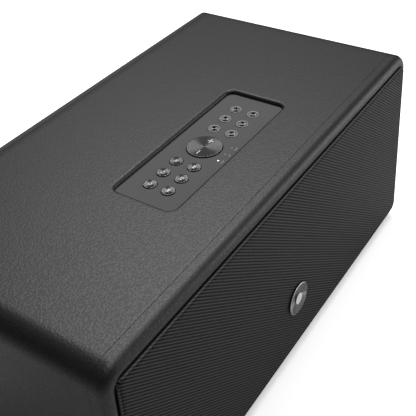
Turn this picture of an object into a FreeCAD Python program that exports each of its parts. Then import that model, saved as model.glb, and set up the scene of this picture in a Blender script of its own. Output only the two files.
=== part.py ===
import FreeCAD, Part
import math
import os

os.makedirs("parts", exist_ok=True)
V = FreeCAD.Vector

# A tabletop loudspeaker in a wooden cabinet covered with leather cloth.
# X runs along its width, Y from the front (minus) to the back (plus) and Z upwards.
# The origin is on the floor, below the middle of the whole.

# The cabinet, with its leather
cabinet_width = 450.0
cabinet_depth = 230.0
cabinet_height = 190.0
corner_radius = 16.5
lip_radius = 7.6
back_radius = 2.3
wall = 12.0
board_fit = 0.25

# The leather, cut in three pieces that meet at two seams
skin = 0.9
front_seam = 12.4
back_seam = 6.5
seam_gap = 0.25
rim_radius = 3.0

# The feet
foot_height = 5.0
foot_radius = 11.0
foot_inset_x = 36.0
foot_inset_y = 32.0
foot_recess_radius = 4.6
foot_recess_depth = 2.6
foot_rounding = 1.0

# The front opening, the grille in it and the badge on the grille
lip_width = 9.2
opening_radius = 8.6
opening_rim = 1.3
grille_gap = 0.8
grille_proud = 1.8
grille_depth = 7.6
grille_edge_radius = 2.2
cloth = 0.8
cloth_gap = 0.1
rib = 3.0
rim = 9.0
columns = 10
rows = 4
peg_radius = 3.0
peg_shoulder_radius = 5.0
peg_boss_radius = 7.0
peg_length = 8.0
peg_fit = 0.15
peg_inset_x = 29.0
peg_from_tweeter = 55.0
peg_inset_z = 24.0
socket_radius = 7.0
socket_flange_radius = 9.0
socket_flange = 1.2
socket_depth = 10.0
badge_radius = 14.4
badge_proud = 1.6
badge_height = 62.0
badge_rim = 1.3
badge_dish = 0.9
badge_dish_edge = 0.2
badge_rounding = 0.4
badge_center_radius = 5.2
badge_pin_radius = 1.2
badge_pin_spread = 9.0
badge_boss_radius = 17.0

# The front board that carries the drivers
baffle_recess = 18.0
baffle_thickness = 12.0

# The rear board
rear_thickness = 12.0
rear_lip = 6.0

# The woofer, measured back from the front face of its flange
woofer_radius = 68.0
woofer_cutout_radius = 60.5
woofer_flange = 4.0
flange_inner_radius = 57.0
ledge_inner_radius = 54.0
basket_back = 40.0
basket_sheet = 3.0
basket_back_radius = 38.0
basket_window = 22.0
basket_windows = 6
basket_shoulder = 4.0
basket_wall = 2.0
basket_bore = 18.0
window_margin = 3.0
spider_seat = 27.0
spider_radius = 38.0
spider_land = 6.0
spider_sheet = 0.6
spider_fit = 1.0
spider_wave = 1.2
spider_waves = 3
cone_outer_radius = 46.0
cone_front = 2.0
cone_back = 18.0
cone_sheet = 0.7
cone_bow = 2.5
cone_lap = 1.0
roll_inner_radius = 46.5
roll_outer_radius = 54.5
roll_sheet = 0.8
glue_gap = 0.2
cap_radius = 19.0
cap_rise = 5.0
coil_radius = 13.2
coil_former = 0.4
coil_wire = 0.6
former_stand = 2.0
pole_radius = 12.4
air_gap_radius = 15.0
top_plate = 5.0
magnet_radius = 43.0
magnet_inner_radius = 22.0
steel_inset = 3.0
magnet_length = 15.0
yoke_plate = 5.0
cone_travel = 4.0
coil_length = top_plate + 2 * cone_travel

# The two tweeters
tweeter_inset = 75.0
tweeter_radius = 31.0
tweeter_flange = 4.0
tweeter_cutout_radius = 24.0
throat_radius = 14.6
flare_width = 5.0
flare_bow = 1.2
dome_radius = 12.5
dome_rise = 4.4
dome_base = 5.0
dome_sheet = 0.4
dome_clear = 0.6
dome_skirt = 4.0
motor_radius = 22.0
motor_length = 20.0
motor_recess = 2.5
dome_travel = 0.3
coil_slot = dome_base + dome_skirt + dome_travel + dome_clear - tweeter_flange - motor_recess

# The reflex port in the rear board
port_inset = 97.0
port_bore_radius = 24.0
port_wall = 2.5
port_length = 105.0
port_flange_radius = 34.0
port_flange = 3.0
port_flare = 4.0

# The control panel sunk in the cabinet's top
panel_width = 166.8
panel_depth = 56.2
panel_from_front = 54.8
panel_corner = 6.4
panel_sink = 3.7
plate_thickness = 1.5
plate_fit = 0.2
ledge = 4.5
board_gap = 1.2
board_thickness = 1.6
board_drop = 6.4
stud_radius = 2.8
stud_inset = 3.5

# The push buttons
key_radius = 5.6
key_rise = 0.9
preset_rise = 0.4
key_gap = 0.25
key_pitch = 17.2
key_first = 27.2
key_flange_radius = 6.7
key_flange = 0.8
key_slack = 0.05
key_stem_radius = 1.5
key_stem_reach = 0.6
key_travel = 0.6
key_edge_radius = 0.5
dish_rim = 1.9
dish_depth = 0.5
hollow_depth = 0.1
switch_side = 6.0
switch_height = 3.2
switch_clear = 0.2
switch_hole_gap = 0.3

# The volume rocker, which tilts on a pin that runs front to back
rocker_radius = 15.0
rocker_rise = 1.2
rocker_thickness = 2.6
rocker_gap = 0.4
rocker_ahead = 0.1
rocker_hollow = 0.35
hub_radius = 3.2
hub_length = 5.0
hub_wall = 1.3
pin_radius = 1.0
pin_fit = 0.08
pin_drop = 3.6
rocker_switch_x = 10.5
bracket_sheet = 1.2
bracket_gap = 0.4

# The three indicator lights
light_count = 3
light_pitch = 10.1
light_radius = 0.75
light_ahead = 19.8
light_fit = 0.05
led_side = 2.4
led_height = 0.8

# The rear connection plate and its sockets
amp_width = 168.0
amp_height = 118.0
amp_from_side = 59.0
amp_thickness = 3.0
amp_corner = 4.0
amp_overlap = 9.0
amp_fit = 0.2
socket_row_rise = 23.0
inlet_offset = 49.0
inlet_width = 27.0
inlet_height = 20.0
inlet_hollow_width = 18.0
inlet_hollow_height = 10.0
inlet_hollow_depth = 14.0
inlet_pin_radius = 1.2
inlet_pin_spread = 8.6
inlet_pin_length = 7.5
network_offset = -20.0
network_width = 16.0
network_height = 14.0
network_hollow_width = 11.8
network_hollow_height = 8.4
network_hollow_depth = 13.0
aux_offset = -46.0
aux_side = 11.0
aux_bore_radius = 1.8
aux_bore_depth = 14.0
reset_offset = 8.0
reset_radius = 3.0
reset_gap = 0.3
reset_flange_radius = 4.2
reset_flange = 1.0
reset_travel = 0.8
standoff_radius = 3.0
standoff_length = 18.0
standoff_inset = 5.0
circuit_inset = 11.0
stack_gap = 34.0
sink_width = 70.0
sink_height = 60.0
sink_base = 5.0
sink_fin = 1.8
sink_fins = 9
sink_depth = 24.0
sink_side = 12.0
cap_can_radius = 9.0
cap_can_length = 32.0
can_inset = 16.0
can_pitch = 20.7
can_rounding = 1.0
transformer_side = 40.0
transformer_height = 28.0
module_width = 26.0
module_height = 34.0
module_depth = 3.4

# Screws with a flat round head
screw_radius = 1.8
screw_head_radius = 3.6
screw_head = 2.2
screw_length = 11.0
screw_slot = 0.9
screw_fit = 0.05
small_screw = 0.5
small_screw_length = 4.5
small_screw_bite = 3.5
woofer_screws = 6
tweeter_screws = 3

# The sound-absorbing mat on the cabinet's floor
mat_thickness = 15.0
mat_inset = 14.0
soft_gap = 0.3

# Planes that the pieces share
front_stand = grille_proud + badge_proud
front = -(cabinet_depth - front_stand) / 2
back = front + cabinet_depth
left = -cabinet_width / 2
right = cabinet_width / 2
over = 1.0
near = 0.1
level_fit = 0.01
bottom = foot_height
top = bottom + cabinet_height
middle_z = (bottom + top) / 2
baffle_front = front + baffle_recess
baffle_back = baffle_front + baffle_thickness
rear_face = back - skin
rear_inside = rear_face - rear_thickness
panel_middle_y = front + panel_from_front + panel_depth / 2
plate_top = top - panel_sink
plate_bottom = plate_top - plate_thickness
board_top = plate_bottom - board_drop
switch_top = board_top + switch_height
switch_hole_depth = key_stem_reach + max(key_travel, reset_travel) + switch_clear
rocker_y = panel_middle_y - rocker_ahead
board_width = panel_width - 2 * ledge - 2 * board_gap
board_depth = panel_depth - 2 * ledge - 2 * board_gap
stud_x = board_width / 2 - stud_inset
stud_y = board_depth / 2 - stud_inset
tweeter_x = right - tweeter_inset
peg_columns = (tweeter_x - peg_from_tweeter, right - peg_inset_x)
port_x = left + port_inset
amp_x = right - amp_from_side - amp_width / 2
inlet_x = amp_x + inlet_offset
network_x = amp_x + network_offset
aux_x = amp_x + aux_offset
reset_x = amp_x + reset_offset
row_z = middle_z - amp_height / 2 + socket_row_rise
circuit_width = amp_width - 2 * circuit_inset
circuit_height = amp_height - 2 * circuit_inset
woofer_screw_circle = (woofer_radius + woofer_cutout_radius) / 2
tweeter_screw_circle = (tweeter_radius + tweeter_cutout_radius) / 2
circuit_y = back - amp_thickness - standoff_length


def box(x0, x1, y0, y1, z0, z1):
    """A plain block between two corners."""
    return Part.makeBox(x1 - x0, y1 - y0, z1 - z0, V(x0, y0, z0))


def rod_y(x, z, radius, y0, y1):
    return Part.makeCylinder(radius, y1 - y0, V(x, y0, z), V(0, 1, 0))


def rod_z(x, y, radius, z0, z1):
    return Part.makeCylinder(radius, z1 - z0, V(x, y, z0), V(0, 0, 1))


def ring_y(x, z, inner, outer, y0, y1):
    return rod_y(x, z, outer, y0, y1).cut(rod_y(x, z, inner, y0, y1))


def rounded_face(u0, u1, v0, v1, radius, place):
    """A rectangle with round corners; place turns its two numbers into a point."""
    k = radius * (1 - math.sqrt(0.5))
    a, b, c, d = u0 + radius, u1 - radius, v0 + radius, v1 - radius
    edges = [
        Part.LineSegment(place(a, v0), place(b, v0)),
        Part.Arc(place(b, v0), place(u1 - k, v0 + k), place(u1, c)),
        Part.LineSegment(place(u1, c), place(u1, d)),
        Part.Arc(place(u1, d), place(u1 - k, v1 - k), place(b, v1)),
        Part.LineSegment(place(b, v1), place(a, v1)),
        Part.Arc(place(a, v1), place(u0 + k, v1 - k), place(u0, d)),
        Part.LineSegment(place(u0, d), place(u0, c)),
        Part.Arc(place(u0, c), place(u0 + k, v0 + k), place(a, v0)),
    ]
    return Part.Face(Part.Wire([edge.toShape() for edge in edges]))


def block_y(x0, x1, z0, z1, radius, y0, y1):
    """A block with round corners seen from the front."""
    face = rounded_face(x0, x1, z0, z1, radius, lambda u, v: V(u, y0, v))
    return face.extrude(V(0, y1 - y0, 0))


def block_z(x0, x1, y0, y1, radius, z0, z1):
    """A block with round corners seen from above."""
    face = rounded_face(x0, x1, y0, y1, radius, lambda u, v: V(u, v, z0))
    return face.extrude(V(0, 0, z1 - z0))


def turned(start, steps, x, y, z):
    """A body turned about a front-to-back axis through x, z.
    Profile points are (radius, distance behind y); a step of two points is an arc."""
    def place(point):
        return V(x + point[0], y + point[1], z)
    edges = []
    here = start
    for step in steps:
        if isinstance(step[0], tuple):
            edges.append(Part.Arc(place(here), place(step[0]), place(step[1])).toShape())
            here = step[1]
        else:
            edges.append(Part.LineSegment(place(here), place(step)).toShape())
            here = step
    if here != start:
        edges.append(Part.LineSegment(place(here), place(start)).toShape())
    return Part.Face(Part.Wire(edges)).revolve(V(x, y, z), V(0, 1, 0), 360)


def round_edges(shape, radius, wanted):
    """Rounds the edges whose bounding box the test accepts."""
    edges = [edge for edge in shape.Edges if wanted(edge.BoundBox)]
    return shape.makeFillet(radius, edges)


def flat_at_y(level):
    return lambda b: abs(b.YMin - level) < level_fit and abs(b.YMax - level) < level_fit


def flat_at_z(level):
    return lambda b: abs(b.ZMin - level) < level_fit and abs(b.ZMax - level) < level_fit


def cabinet_form(inset):
    """The cabinet's outside set in by inset, with the front opening and the panel's pocket.
    At no inset it is the leather's outer face, at the leather's thickness the wood's."""
    form = block_y(left + inset, right - inset, bottom + inset, top - inset,
                   corner_radius - inset, front + inset, back - inset)
    form = round_edges(form, lip_radius - inset, flat_at_y(front + inset))
    form = round_edges(form, back_radius - inset, flat_at_y(back - inset))
    edge = lip_width - inset
    opening = block_y(left + edge, right - edge, bottom + edge, top - edge,
                      opening_radius + inset, front, baffle_back)
    form = form.cut(opening)
    on_front = flat_at_y(front + inset)

    def on_opening(b):
        return on_front(b) and b.XMin > left + edge - near and b.ZMin > bottom + edge - near \
            and b.XMax < right - edge + near and b.ZMax < top - edge + near
    form = round_edges(form, opening_rim - inset, on_opening)
    half = panel_width / 2 + inset
    deep = panel_depth / 2 + inset
    sink = panel_sink if inset else panel_sink + skin
    pocket = block_z(-half, half, panel_middle_y - deep, panel_middle_y + deep,
                     panel_corner + inset, top - sink, top)
    form = form.cut(pocket)
    on_top = flat_at_z(top - inset)

    def on_pocket(b):
        return on_top(b) and b.XMin > -half - near and b.XMax < half + near \
            and b.YMin > panel_middle_y - deep - near and b.YMax < panel_middle_y + deep + near
    return round_edges(form, rim_radius - inset, on_pocket)


def slab(y0, y1):
    """Everything between two planes across the depth."""
    return box(left - over, right + over, y0, y1, bottom - over, top + over)


def screw(x, y, z, direction, length=screw_length, size=1.0):
    """A screw whose head's outer face is at x, y, z and whose shank runs along direction."""
    head = Part.makeCylinder(size * screw_head_radius, size * screw_head, V(x, y, z), direction)
    shank = Part.makeCylinder(size * screw_radius, length, V(x, y, z), direction)
    arm = size * screw_head_radius / 2
    half = size * screw_slot / 2
    slot = Part.makeBox(2 * arm, 2 * half, size * screw_slot, V(-arm, -half, 0))
    slot = slot.fuse(Part.makeBox(2 * half, 2 * arm, size * screw_slot, V(-half, -arm, 0)))
    turn = FreeCAD.Rotation(V(0, 0, 1), direction)
    slot.Placement = FreeCAD.Placement(V(x, y, z), turn)
    return head.fuse(shank).cut(slot)


def screw_hole(x, y, z, direction, length=screw_length, size=1.0):
    """The hole that a screw's head and shank sit in."""
    head = Part.makeCylinder(size * screw_head_radius + screw_fit, size * screw_head,
                             V(x, y, z), direction)
    shank = Part.makeCylinder(size * screw_radius + screw_fit, length + screw_fit,
                              V(x, y, z), direction)
    return head.fuse(shank)


def together(shapes):
    """Separate solids of one node."""
    return Part.makeCompound(shapes)


nodes = {}

# Places of what repeats
foot_places = [(sx * (cabinet_width / 2 - foot_inset_x), sy)
               for sx in (-1, 1) for sy in (front + foot_inset_y, back - foot_inset_y)]
peg_places = [(sx * x, z) for sx in (-1, 1) for x in peg_columns
              for z in (bottom + peg_inset_z, top - peg_inset_z)]
woofer_screw_places = [(woofer_screw_circle * math.cos(math.radians(30 + 360 / woofer_screws * i)),
                        middle_z + woofer_screw_circle
                        * math.sin(math.radians(30 + 360 / woofer_screws * i)))
                       for i in range(woofer_screws)]
tweeter_screw_places = [(side * tweeter_x + tweeter_screw_circle
                         * math.cos(math.radians(90 + 360 / tweeter_screws * i)),
                         middle_z + tweeter_screw_circle
                         * math.sin(math.radians(90 + 360 / tweeter_screws * i)))
                        for side in (-1, 1) for i in range(tweeter_screws)]
amp_left = amp_x - amp_width / 2
amp_right = amp_x + amp_width / 2
amp_low = middle_z - amp_height / 2
amp_high = middle_z + amp_height / 2
rear_screw_places = [(x, z) for x in (amp_left + amp_overlap / 2, amp_x, amp_right - amp_overlap / 2)
                     for z in (amp_low + amp_overlap / 2, amp_high - amp_overlap / 2)]
stud_places = [(sx * stud_x, panel_middle_y + sy * stud_y) for sx in (-1, 1) for sy in (-1, 1)]
circuit_places = [(amp_x + sx * (circuit_width / 2 - standoff_inset),
                   middle_z + sz * (circuit_height / 2 - standoff_inset))
                  for sx in (-1, 1) for sz in (-1, 1)]
toward_back = V(0, 1, 0)
toward_front = V(0, -1, 0)
upwards = V(0, 0, 1)


# The leather and the wood
leather_form = cabinet_form(0.0)
wood_form = cabinet_form(skin)
leather = leather_form.cut(wood_form)
amp_opening = block_y(amp_left - amp_fit, amp_right + amp_fit, amp_low - amp_fit, amp_high + amp_fit,
                      amp_corner + amp_fit, back - amp_thickness, back + over)
port_opening = rod_y(port_x, middle_z, port_flange_radius + amp_fit, back - port_flange, back + over)
foot_holes = []
for x, y in foot_places:
    shank = rod_z(x, y, screw_radius + screw_fit, bottom - over,
                  foot_recess_depth - screw_head + screw_length + screw_fit)
    foot_holes.append(shank)

main_wrap = leather.common(slab(front + front_seam + seam_gap / 2, back - back_seam - seam_gap / 2))
inner_edge = lip_width / 2
inner_lining = block_y(left + inner_edge, right - inner_edge, bottom + inner_edge, top - inner_edge,
                       corner_radius - inner_edge, front - over, baffle_back)
for hole in foot_holes:
    main_wrap = main_wrap.cut(hole)
nodes["leather_wrap"] = main_wrap.cut(inner_lining)

front_leather = leather.common(slab(front - over, baffle_front))
outer_tube = slab(front + front_seam - seam_gap / 2, baffle_front + over).cut(inner_lining)
nodes["leather_front_band"] = front_leather.cut(outer_tube)

rear_leather = leather.common(slab(back - back_seam + seam_gap / 2, back + over))
nodes["leather_rear_cover"] = rear_leather.cut(amp_opening).cut(port_opening)

inside = skin + wall
cavity = block_y(left + inside, right - inside, bottom + inside, top - inside,
                 corner_radius - inside, baffle_back - over, rear_inside + over)
rear_edge = skin + rear_lip
rear_rebate = block_y(left + rear_edge, right - rear_edge, bottom + rear_edge, top - rear_edge,
                      corner_radius - rear_edge, rear_inside, back)
half_hole = panel_width / 2 - ledge
deep_hole = panel_depth / 2 - ledge
wood_half = panel_width / 2 + skin
wood_deep = panel_depth / 2 + skin
plate_pocket = block_z(-wood_half, wood_half, panel_middle_y - wood_deep, panel_middle_y + wood_deep,
                       panel_corner + skin, plate_bottom, top)
panel_hole = block_z(-half_hole, half_hole, panel_middle_y - deep_hole, panel_middle_y + deep_hole,
                     panel_corner, top - inside - over, top)
body = wood_form.cut(cavity).cut(rear_rebate).cut(plate_pocket).cut(panel_hole)
for hole in foot_holes:
    body = body.cut(hole)
nodes["cabinet_body"] = body

# Feet of rubber, each held by one screw from below
feet = []
foot_screws = []
for x, y in foot_places:
    foot = rod_z(x, y, foot_radius, 0, foot_height)
    foot = round_edges(foot, foot_rounding, flat_at_z(0))
    foot = foot.cut(rod_z(x, y, foot_recess_radius, 0, foot_recess_depth))
    foot = foot.cut(rod_z(x, y, screw_radius + screw_fit, 0, foot_height))
    feet.append(foot)
    foot_screws.append(screw(x, y, foot_recess_depth - screw_head, upwards))
nodes["rubber_feet"] = together(feet)

# The front board, with a seat for each driver and a hole for each grille socket
edge = lip_width - skin + board_fit
baffle = block_y(left + edge, right - edge, bottom + edge, top - edge,
                 opening_radius + skin - board_fit, baffle_front, baffle_back)
baffle = baffle.cut(rod_y(0, middle_z, woofer_radius + board_fit, baffle_front,
                          baffle_front + woofer_flange))
baffle = baffle.cut(rod_y(0, middle_z, woofer_cutout_radius, baffle_front, baffle_back))
for side in (-1, 1):
    baffle = baffle.cut(rod_y(side * tweeter_x, middle_z, tweeter_radius + board_fit, baffle_front,
                              baffle_front + tweeter_flange))
    baffle = baffle.cut(rod_y(side * tweeter_x, middle_z, tweeter_cutout_radius, baffle_front,
                              baffle_back))
for x, z in woofer_screw_places + tweeter_screw_places:
    baffle = baffle.cut(screw_hole(x, baffle_front, z, toward_back))
for x, z in peg_places:
    baffle = baffle.cut(rod_y(x, z, socket_radius, baffle_front, baffle_back))
nodes["front_baffle"] = baffle

# Rubber cups in the front board that grip the grille's pegs
sockets = []
for x, z in peg_places:
    cup = rod_y(x, z, socket_radius - peg_fit, baffle_front, baffle_front + socket_depth)
    cup = cup.fuse(rod_y(x, z, socket_flange_radius, baffle_front - socket_flange, baffle_front))
    cup = cup.cut(rod_y(x, z, peg_radius + peg_fit, baffle_front - socket_flange,
                        baffle_front - socket_flange + peg_length + peg_fit))
    sockets.append(cup)
nodes["grille_sockets"] = together(sockets)

# The grille: a moulded lattice with pegs, and the cloth stretched over its face and edges
cloth_face = front - grille_proud
cloth_back = cloth_face + grille_depth
edge = lip_width + grille_gap
outer = block_y(left + edge, right - edge, bottom + edge, top - edge,
                opening_radius - grille_gap, cloth_face, cloth_back)
outer = round_edges(outer, grille_edge_radius, flat_at_y(cloth_face))
inner_face = cloth_face + cloth
edge = edge + cloth
hollow = block_y(left + edge, right - edge, bottom + edge, top - edge,
                 opening_radius - grille_gap - cloth, inner_face, cloth_back)
hollow = round_edges(hollow, grille_edge_radius - cloth, flat_at_y(inner_face))
cover = outer.cut(hollow)
frame_face = inner_face + cloth_gap
edge = edge + cloth_gap
frame_back = cloth_back - cloth
lattice = block_y(left + edge, right - edge, bottom + edge, top - edge,
                  opening_radius - grille_gap - cloth - cloth_gap, frame_face, frame_back)
lattice = round_edges(lattice, grille_edge_radius - cloth - cloth_gap, flat_at_y(frame_face))
frame_x0 = left + edge + rim
frame_z0 = bottom + edge + rim
cell_x = (-2 * frame_x0 + rib) / columns
cell_z = (2 * (middle_z - frame_z0) + rib) / rows
for i in range(columns):
    for j in range(rows):
        x0 = frame_x0 + i * cell_x
        z0 = frame_z0 + j * cell_z
        lattice = lattice.cut(box(x0, x0 + cell_x - rib, frame_face - over, frame_back + over,
                                  z0, z0 + cell_z - rib))
for x, z in peg_places:
    lattice = lattice.fuse(rod_y(x, z, peg_boss_radius, frame_face, frame_back))
    lattice = lattice.fuse(rod_y(x, z, peg_shoulder_radius, frame_back,
                                 baffle_front - socket_flange))
    lattice = lattice.fuse(rod_y(x, z, peg_radius, frame_back,
                                 baffle_front - socket_flange + peg_length))
badge_z = bottom + badge_height
lattice = lattice.fuse(rod_y(0, badge_z, badge_boss_radius, frame_face, frame_back))
badge_pins = [(sx * badge_pin_spread, badge_z) for sx in (-1, 1)]
for x, z in badge_pins:
    hole = rod_y(x, z, badge_pin_radius + screw_fit, cloth_face - over, frame_back + over)
    lattice = lattice.cut(hole)
    cover = cover.cut(hole)
nodes["grille_frame"] = lattice.removeSplitter()
nodes["grille_cloth"] = cover

# The badge: a turned dish with a plain raised middle, and two pins through the grille
badge_inside = badge_radius - badge_rim
badge_dish_radius = (badge_center_radius + 2 * badge_inside) / 3
badge = turned((0, -badge_proud), [(badge_center_radius, -badge_proud),
                                   (badge_center_radius, -badge_proud + badge_dish),
                                   ((badge_dish_radius, -badge_proud + badge_dish - badge_dish_edge),
                                    (badge_inside, -badge_proud + badge_dish_edge)),
                                   (badge_inside, -badge_proud),
                                   (badge_radius - badge_rounding, -badge_proud),
                                   (badge_radius, -badge_proud + badge_rounding),
                                   (badge_radius, 0), (0, 0)], 0, cloth_face, badge_z)
for x, z in badge_pins:
    badge = badge.fuse(rod_y(x, z, badge_pin_radius, cloth_face, frame_back + over))
nodes["badge_disc"] = badge

# The woofer's cast basket, with six windows between its legs
seat = baffle_front
basket_neck_radius = woofer_cutout_radius - board_fit
basket_out_radius = basket_back_radius + basket_sheet
basket_in_radius = basket_back_radius - basket_wall
spider_inner = spider_radius - spider_land + spider_fit
basket = turned((flange_inner_radius, 0), [
    (woofer_radius, 0), (woofer_radius, woofer_flange), (basket_neck_radius, woofer_flange),
    (basket_out_radius, spider_seat + basket_shoulder), (basket_out_radius, basket_back),
    (basket_back_radius, basket_back + basket_sheet), (basket_bore, basket_back + basket_sheet),
    (basket_bore, basket_back), (basket_in_radius, basket_back),
    (basket_in_radius, spider_seat + basket_wall), (spider_inner, spider_seat + basket_wall),
    (spider_inner, spider_seat), (spider_radius + spider_fit, spider_seat),
    (ledge_inner_radius, woofer_flange + spider_fit), (ledge_inner_radius, cone_front),
    (flange_inner_radius, cone_front)], 0, seat, middle_z)
for i in range(basket_windows):
    angle = 360.0 / basket_windows * i
    window = box(basket_out_radius - window_margin, woofer_cutout_radius + window_margin,
                 seat + woofer_flange + window_margin, seat + spider_seat - window_margin,
                 -basket_window / 2, basket_window / 2)
    window.translate(V(0, 0, middle_z))
    window.rotate(V(0, 0, middle_z), V(0, 1, 0), angle)
    basket = basket.cut(window)
for x, z in woofer_screw_places:
    basket = basket.cut(screw_hole(x, baffle_front, z, toward_back))
nodes["woofer_basket"] = basket

plate_s = basket_back + basket_sheet
top_ring = ring_y(0, middle_z, air_gap_radius, magnet_radius - steel_inset, seat + plate_s,
                  seat + plate_s + top_plate)
nodes["woofer_top_plate"] = top_ring
magnet_s = plate_s + top_plate
nodes["woofer_magnet"] = ring_y(0, middle_z, magnet_inner_radius, magnet_radius, seat + magnet_s,
                                seat + magnet_s + magnet_length)
yoke_s = magnet_s + magnet_length
pole = rod_y(0, middle_z, pole_radius, seat + plate_s, seat + yoke_s)
yoke = rod_y(0, middle_z, magnet_radius - steel_inset, seat + yoke_s, seat + yoke_s + yoke_plate)
nodes["woofer_yoke"] = yoke.fuse(pole)

# The moving cone, its dust cap and its voice coil
neck = coil_radius + coil_former
cone_edge = cone_outer_radius - cone_lap
cone_waist = ((neck + cone_outer_radius + cone_bow) / 2, (cone_front + cone_back) / 2 - cone_bow)
cone = turned((neck, cone_back), [
    (cone_waist, (cone_edge, cone_front)),
    (cone_outer_radius, cone_front), (cone_outer_radius, cone_front + cone_sheet),
    ((cone_waist[0], cone_waist[1] + cone_sheet), (neck, cone_back + cone_sheet))], 0, seat, middle_z)
nodes["woofer_cone"] = cone
former_front = cone_back - former_stand
coil_front = plate_s + (top_plate - coil_length) / 2
coil_end = coil_front + coil_length
nodes["woofer_voice_coil"] = turned((coil_radius, former_front), [
    (neck, former_front), (neck, coil_front), (neck + coil_wire, coil_front),
    (neck + coil_wire, coil_end), (coil_radius, coil_end)], 0, seat, middle_z)


def dome(radius, rise, sheet, base, x, y, z):
    """A shallow shell dome whose rim lies at base and whose top points to the front."""
    def height(r, big, foot):
        sphere = (big * big + foot * foot) / (2 * foot)
        return math.sqrt(sphere * sphere - r * r) - (sphere - foot)
    outer_mid = (radius / 2, base - height(radius / 2, radius, rise))
    inner = radius - sheet
    inner_rise = rise - sheet
    inner_mid = (inner / 2, base - height(inner / 2, inner, inner_rise))
    return turned((radius, base), [(outer_mid, (0, base - rise)), (0, base - inner_rise),
                                   (inner_mid, (inner, base))], x, y, z)


cone_line = Part.Arc(V(neck, cone_back, 0), V(cone_waist[0], cone_waist[1], 0),
                     V(cone_edge, cone_front, 0)).toShape()
cap_line = Part.makeLine(V(cap_radius, 0, 0), V(cap_radius, coil_end, 0))
cap_base = cone_line.distToShape(cap_line)[1][0][0].y
nodes["woofer_dust_cap"] = dome(cap_radius, cap_rise, cone_sheet, cap_base, 0, seat, middle_z)

# The rubber roll and the corrugated spider that centre the cone
roll_middle = (roll_inner_radius + roll_outer_radius) / 2
roll_span = (roll_outer_radius - roll_inner_radius) / 2
roll_top = cone_front - roll_sheet
roll_edge = flange_inner_radius - glue_gap
nodes["woofer_surround"] = turned((cone_edge, roll_top), [
    (roll_inner_radius, roll_top),
    ((roll_middle, roll_top - roll_span), (roll_outer_radius, roll_top)),
    (roll_edge, roll_top), (roll_edge, cone_front), (roll_outer_radius - roll_sheet, cone_front),
    ((roll_middle, cone_front - roll_span), (roll_inner_radius + roll_sheet, cone_front)),
    (cone_edge, cone_front)], 0, seat, middle_z)

wave_step = (spider_radius - spider_land - neck - glue_gap) / (2 * spider_waves)
spider_front = spider_seat - spider_sheet
spider_steps = []
for i in range(2 * spider_waves):
    r0 = neck + glue_gap + i * wave_step
    bump = -spider_wave if i % 2 == 0 else spider_wave
    spider_steps.append(((r0 + wave_step / 2, spider_front + bump), (r0 + wave_step, spider_front)))
spider_steps.append((spider_radius, spider_front))
spider_steps.append((spider_radius, spider_front + spider_sheet))
last = neck + glue_gap + 2 * spider_waves * wave_step
spider_steps.append((last, spider_front + spider_sheet))
for i in reversed(range(2 * spider_waves)):
    r0 = neck + glue_gap + i * wave_step
    bump = -spider_wave if i % 2 == 0 else spider_wave
    spider_steps.append(((r0 + wave_step / 2, spider_front + spider_sheet + bump),
                         (r0, spider_front + spider_sheet)))
nodes["woofer_spider"] = turned((neck + glue_gap, spider_front), spider_steps, 0, seat, middle_z)

driver_screws = [screw(x, baffle_front, z, toward_back)
                 for x, z in woofer_screw_places + tweeter_screw_places]

# The tweeters: a flared front plate, a magnet cup and a soft dome with its coil's skirt
for name, side in (("left", -1), ("right", 1)):
    x = side * tweeter_x
    flare = turned((throat_radius, tweeter_flange), [
        ((throat_radius + flare_bow, tweeter_flange / 3), (throat_radius + flare_width, 0)),
        (tweeter_radius, 0),
        (tweeter_radius, tweeter_flange)], x, seat, middle_z)
    for sx, sz in tweeter_screw_places:
        flare = flare.cut(screw_hole(sx, baffle_front, sz, toward_back))
    nodes["tweeter_plate_" + name] = flare
    motor = rod_y(x, middle_z, motor_radius, seat + tweeter_flange, seat + tweeter_flange + motor_length)
    motor = motor.cut(rod_y(x, middle_z, throat_radius, seat + tweeter_flange,
                            seat + tweeter_flange + motor_recess))
    gap_end = seat + tweeter_flange + motor_recess + coil_slot
    motor = motor.cut(ring_y(x, middle_z, dome_radius - dome_sheet - dome_clear,
                             dome_radius + dome_clear, seat + tweeter_flange, gap_end))
    nodes["tweeter_motor_" + name] = motor
    cap = dome(dome_radius, dome_rise, dome_sheet, dome_base, x, seat, middle_z)
    cap = cap.fuse(ring_y(x, middle_z, dome_radius - dome_sheet, dome_radius, seat + dome_base,
                          seat + dome_base + dome_skirt))
    cap = cap.fuse(ring_y(x, middle_z, dome_radius - dome_sheet, throat_radius - dome_clear / 2,
                          seat + dome_base, seat + dome_base + dome_sheet))
    nodes["tweeter_dome_" + name] = cap.removeSplitter()

# The rear board, with openings for the connection plate and the port
edge = rear_edge + board_fit
rear = block_y(left + edge, right - edge, bottom + edge, top - edge, corner_radius - edge,
               rear_inside, rear_face)
rear = rear.cut(amp_opening).cut(port_opening)
rear = rear.cut(block_y(amp_left + amp_overlap, amp_right - amp_overlap, amp_low + amp_overlap,
                        amp_high - amp_overlap, amp_corner, rear_inside - over, back))
rear = rear.cut(rod_y(port_x, middle_z, port_bore_radius + port_wall + board_fit,
                      rear_inside - over, back))
for x, z in rear_screw_places:
    rear = rear.cut(screw_hole(x, back, z, toward_front))
nodes["rear_board"] = rear

# The reflex port with its flared mouth
flare_middle = port_flare * (1 - math.sqrt(0.5))
nodes["reflex_port"] = turned((port_bore_radius, port_flare), [
    ((port_bore_radius + flare_middle, flare_middle), (port_bore_radius + port_flare, 0)),
    (port_flange_radius, 0), (port_flange_radius, port_flange),
    (port_bore_radius + port_wall, port_flange), (port_bore_radius + port_wall, port_length),
    (port_bore_radius, port_length)], port_x, 0, middle_z)
nodes["reflex_port"].rotate(V(port_x, 0, middle_z), V(0, 0, 1), 180)
nodes["reflex_port"].translate(V(0, back, 0))

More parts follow.
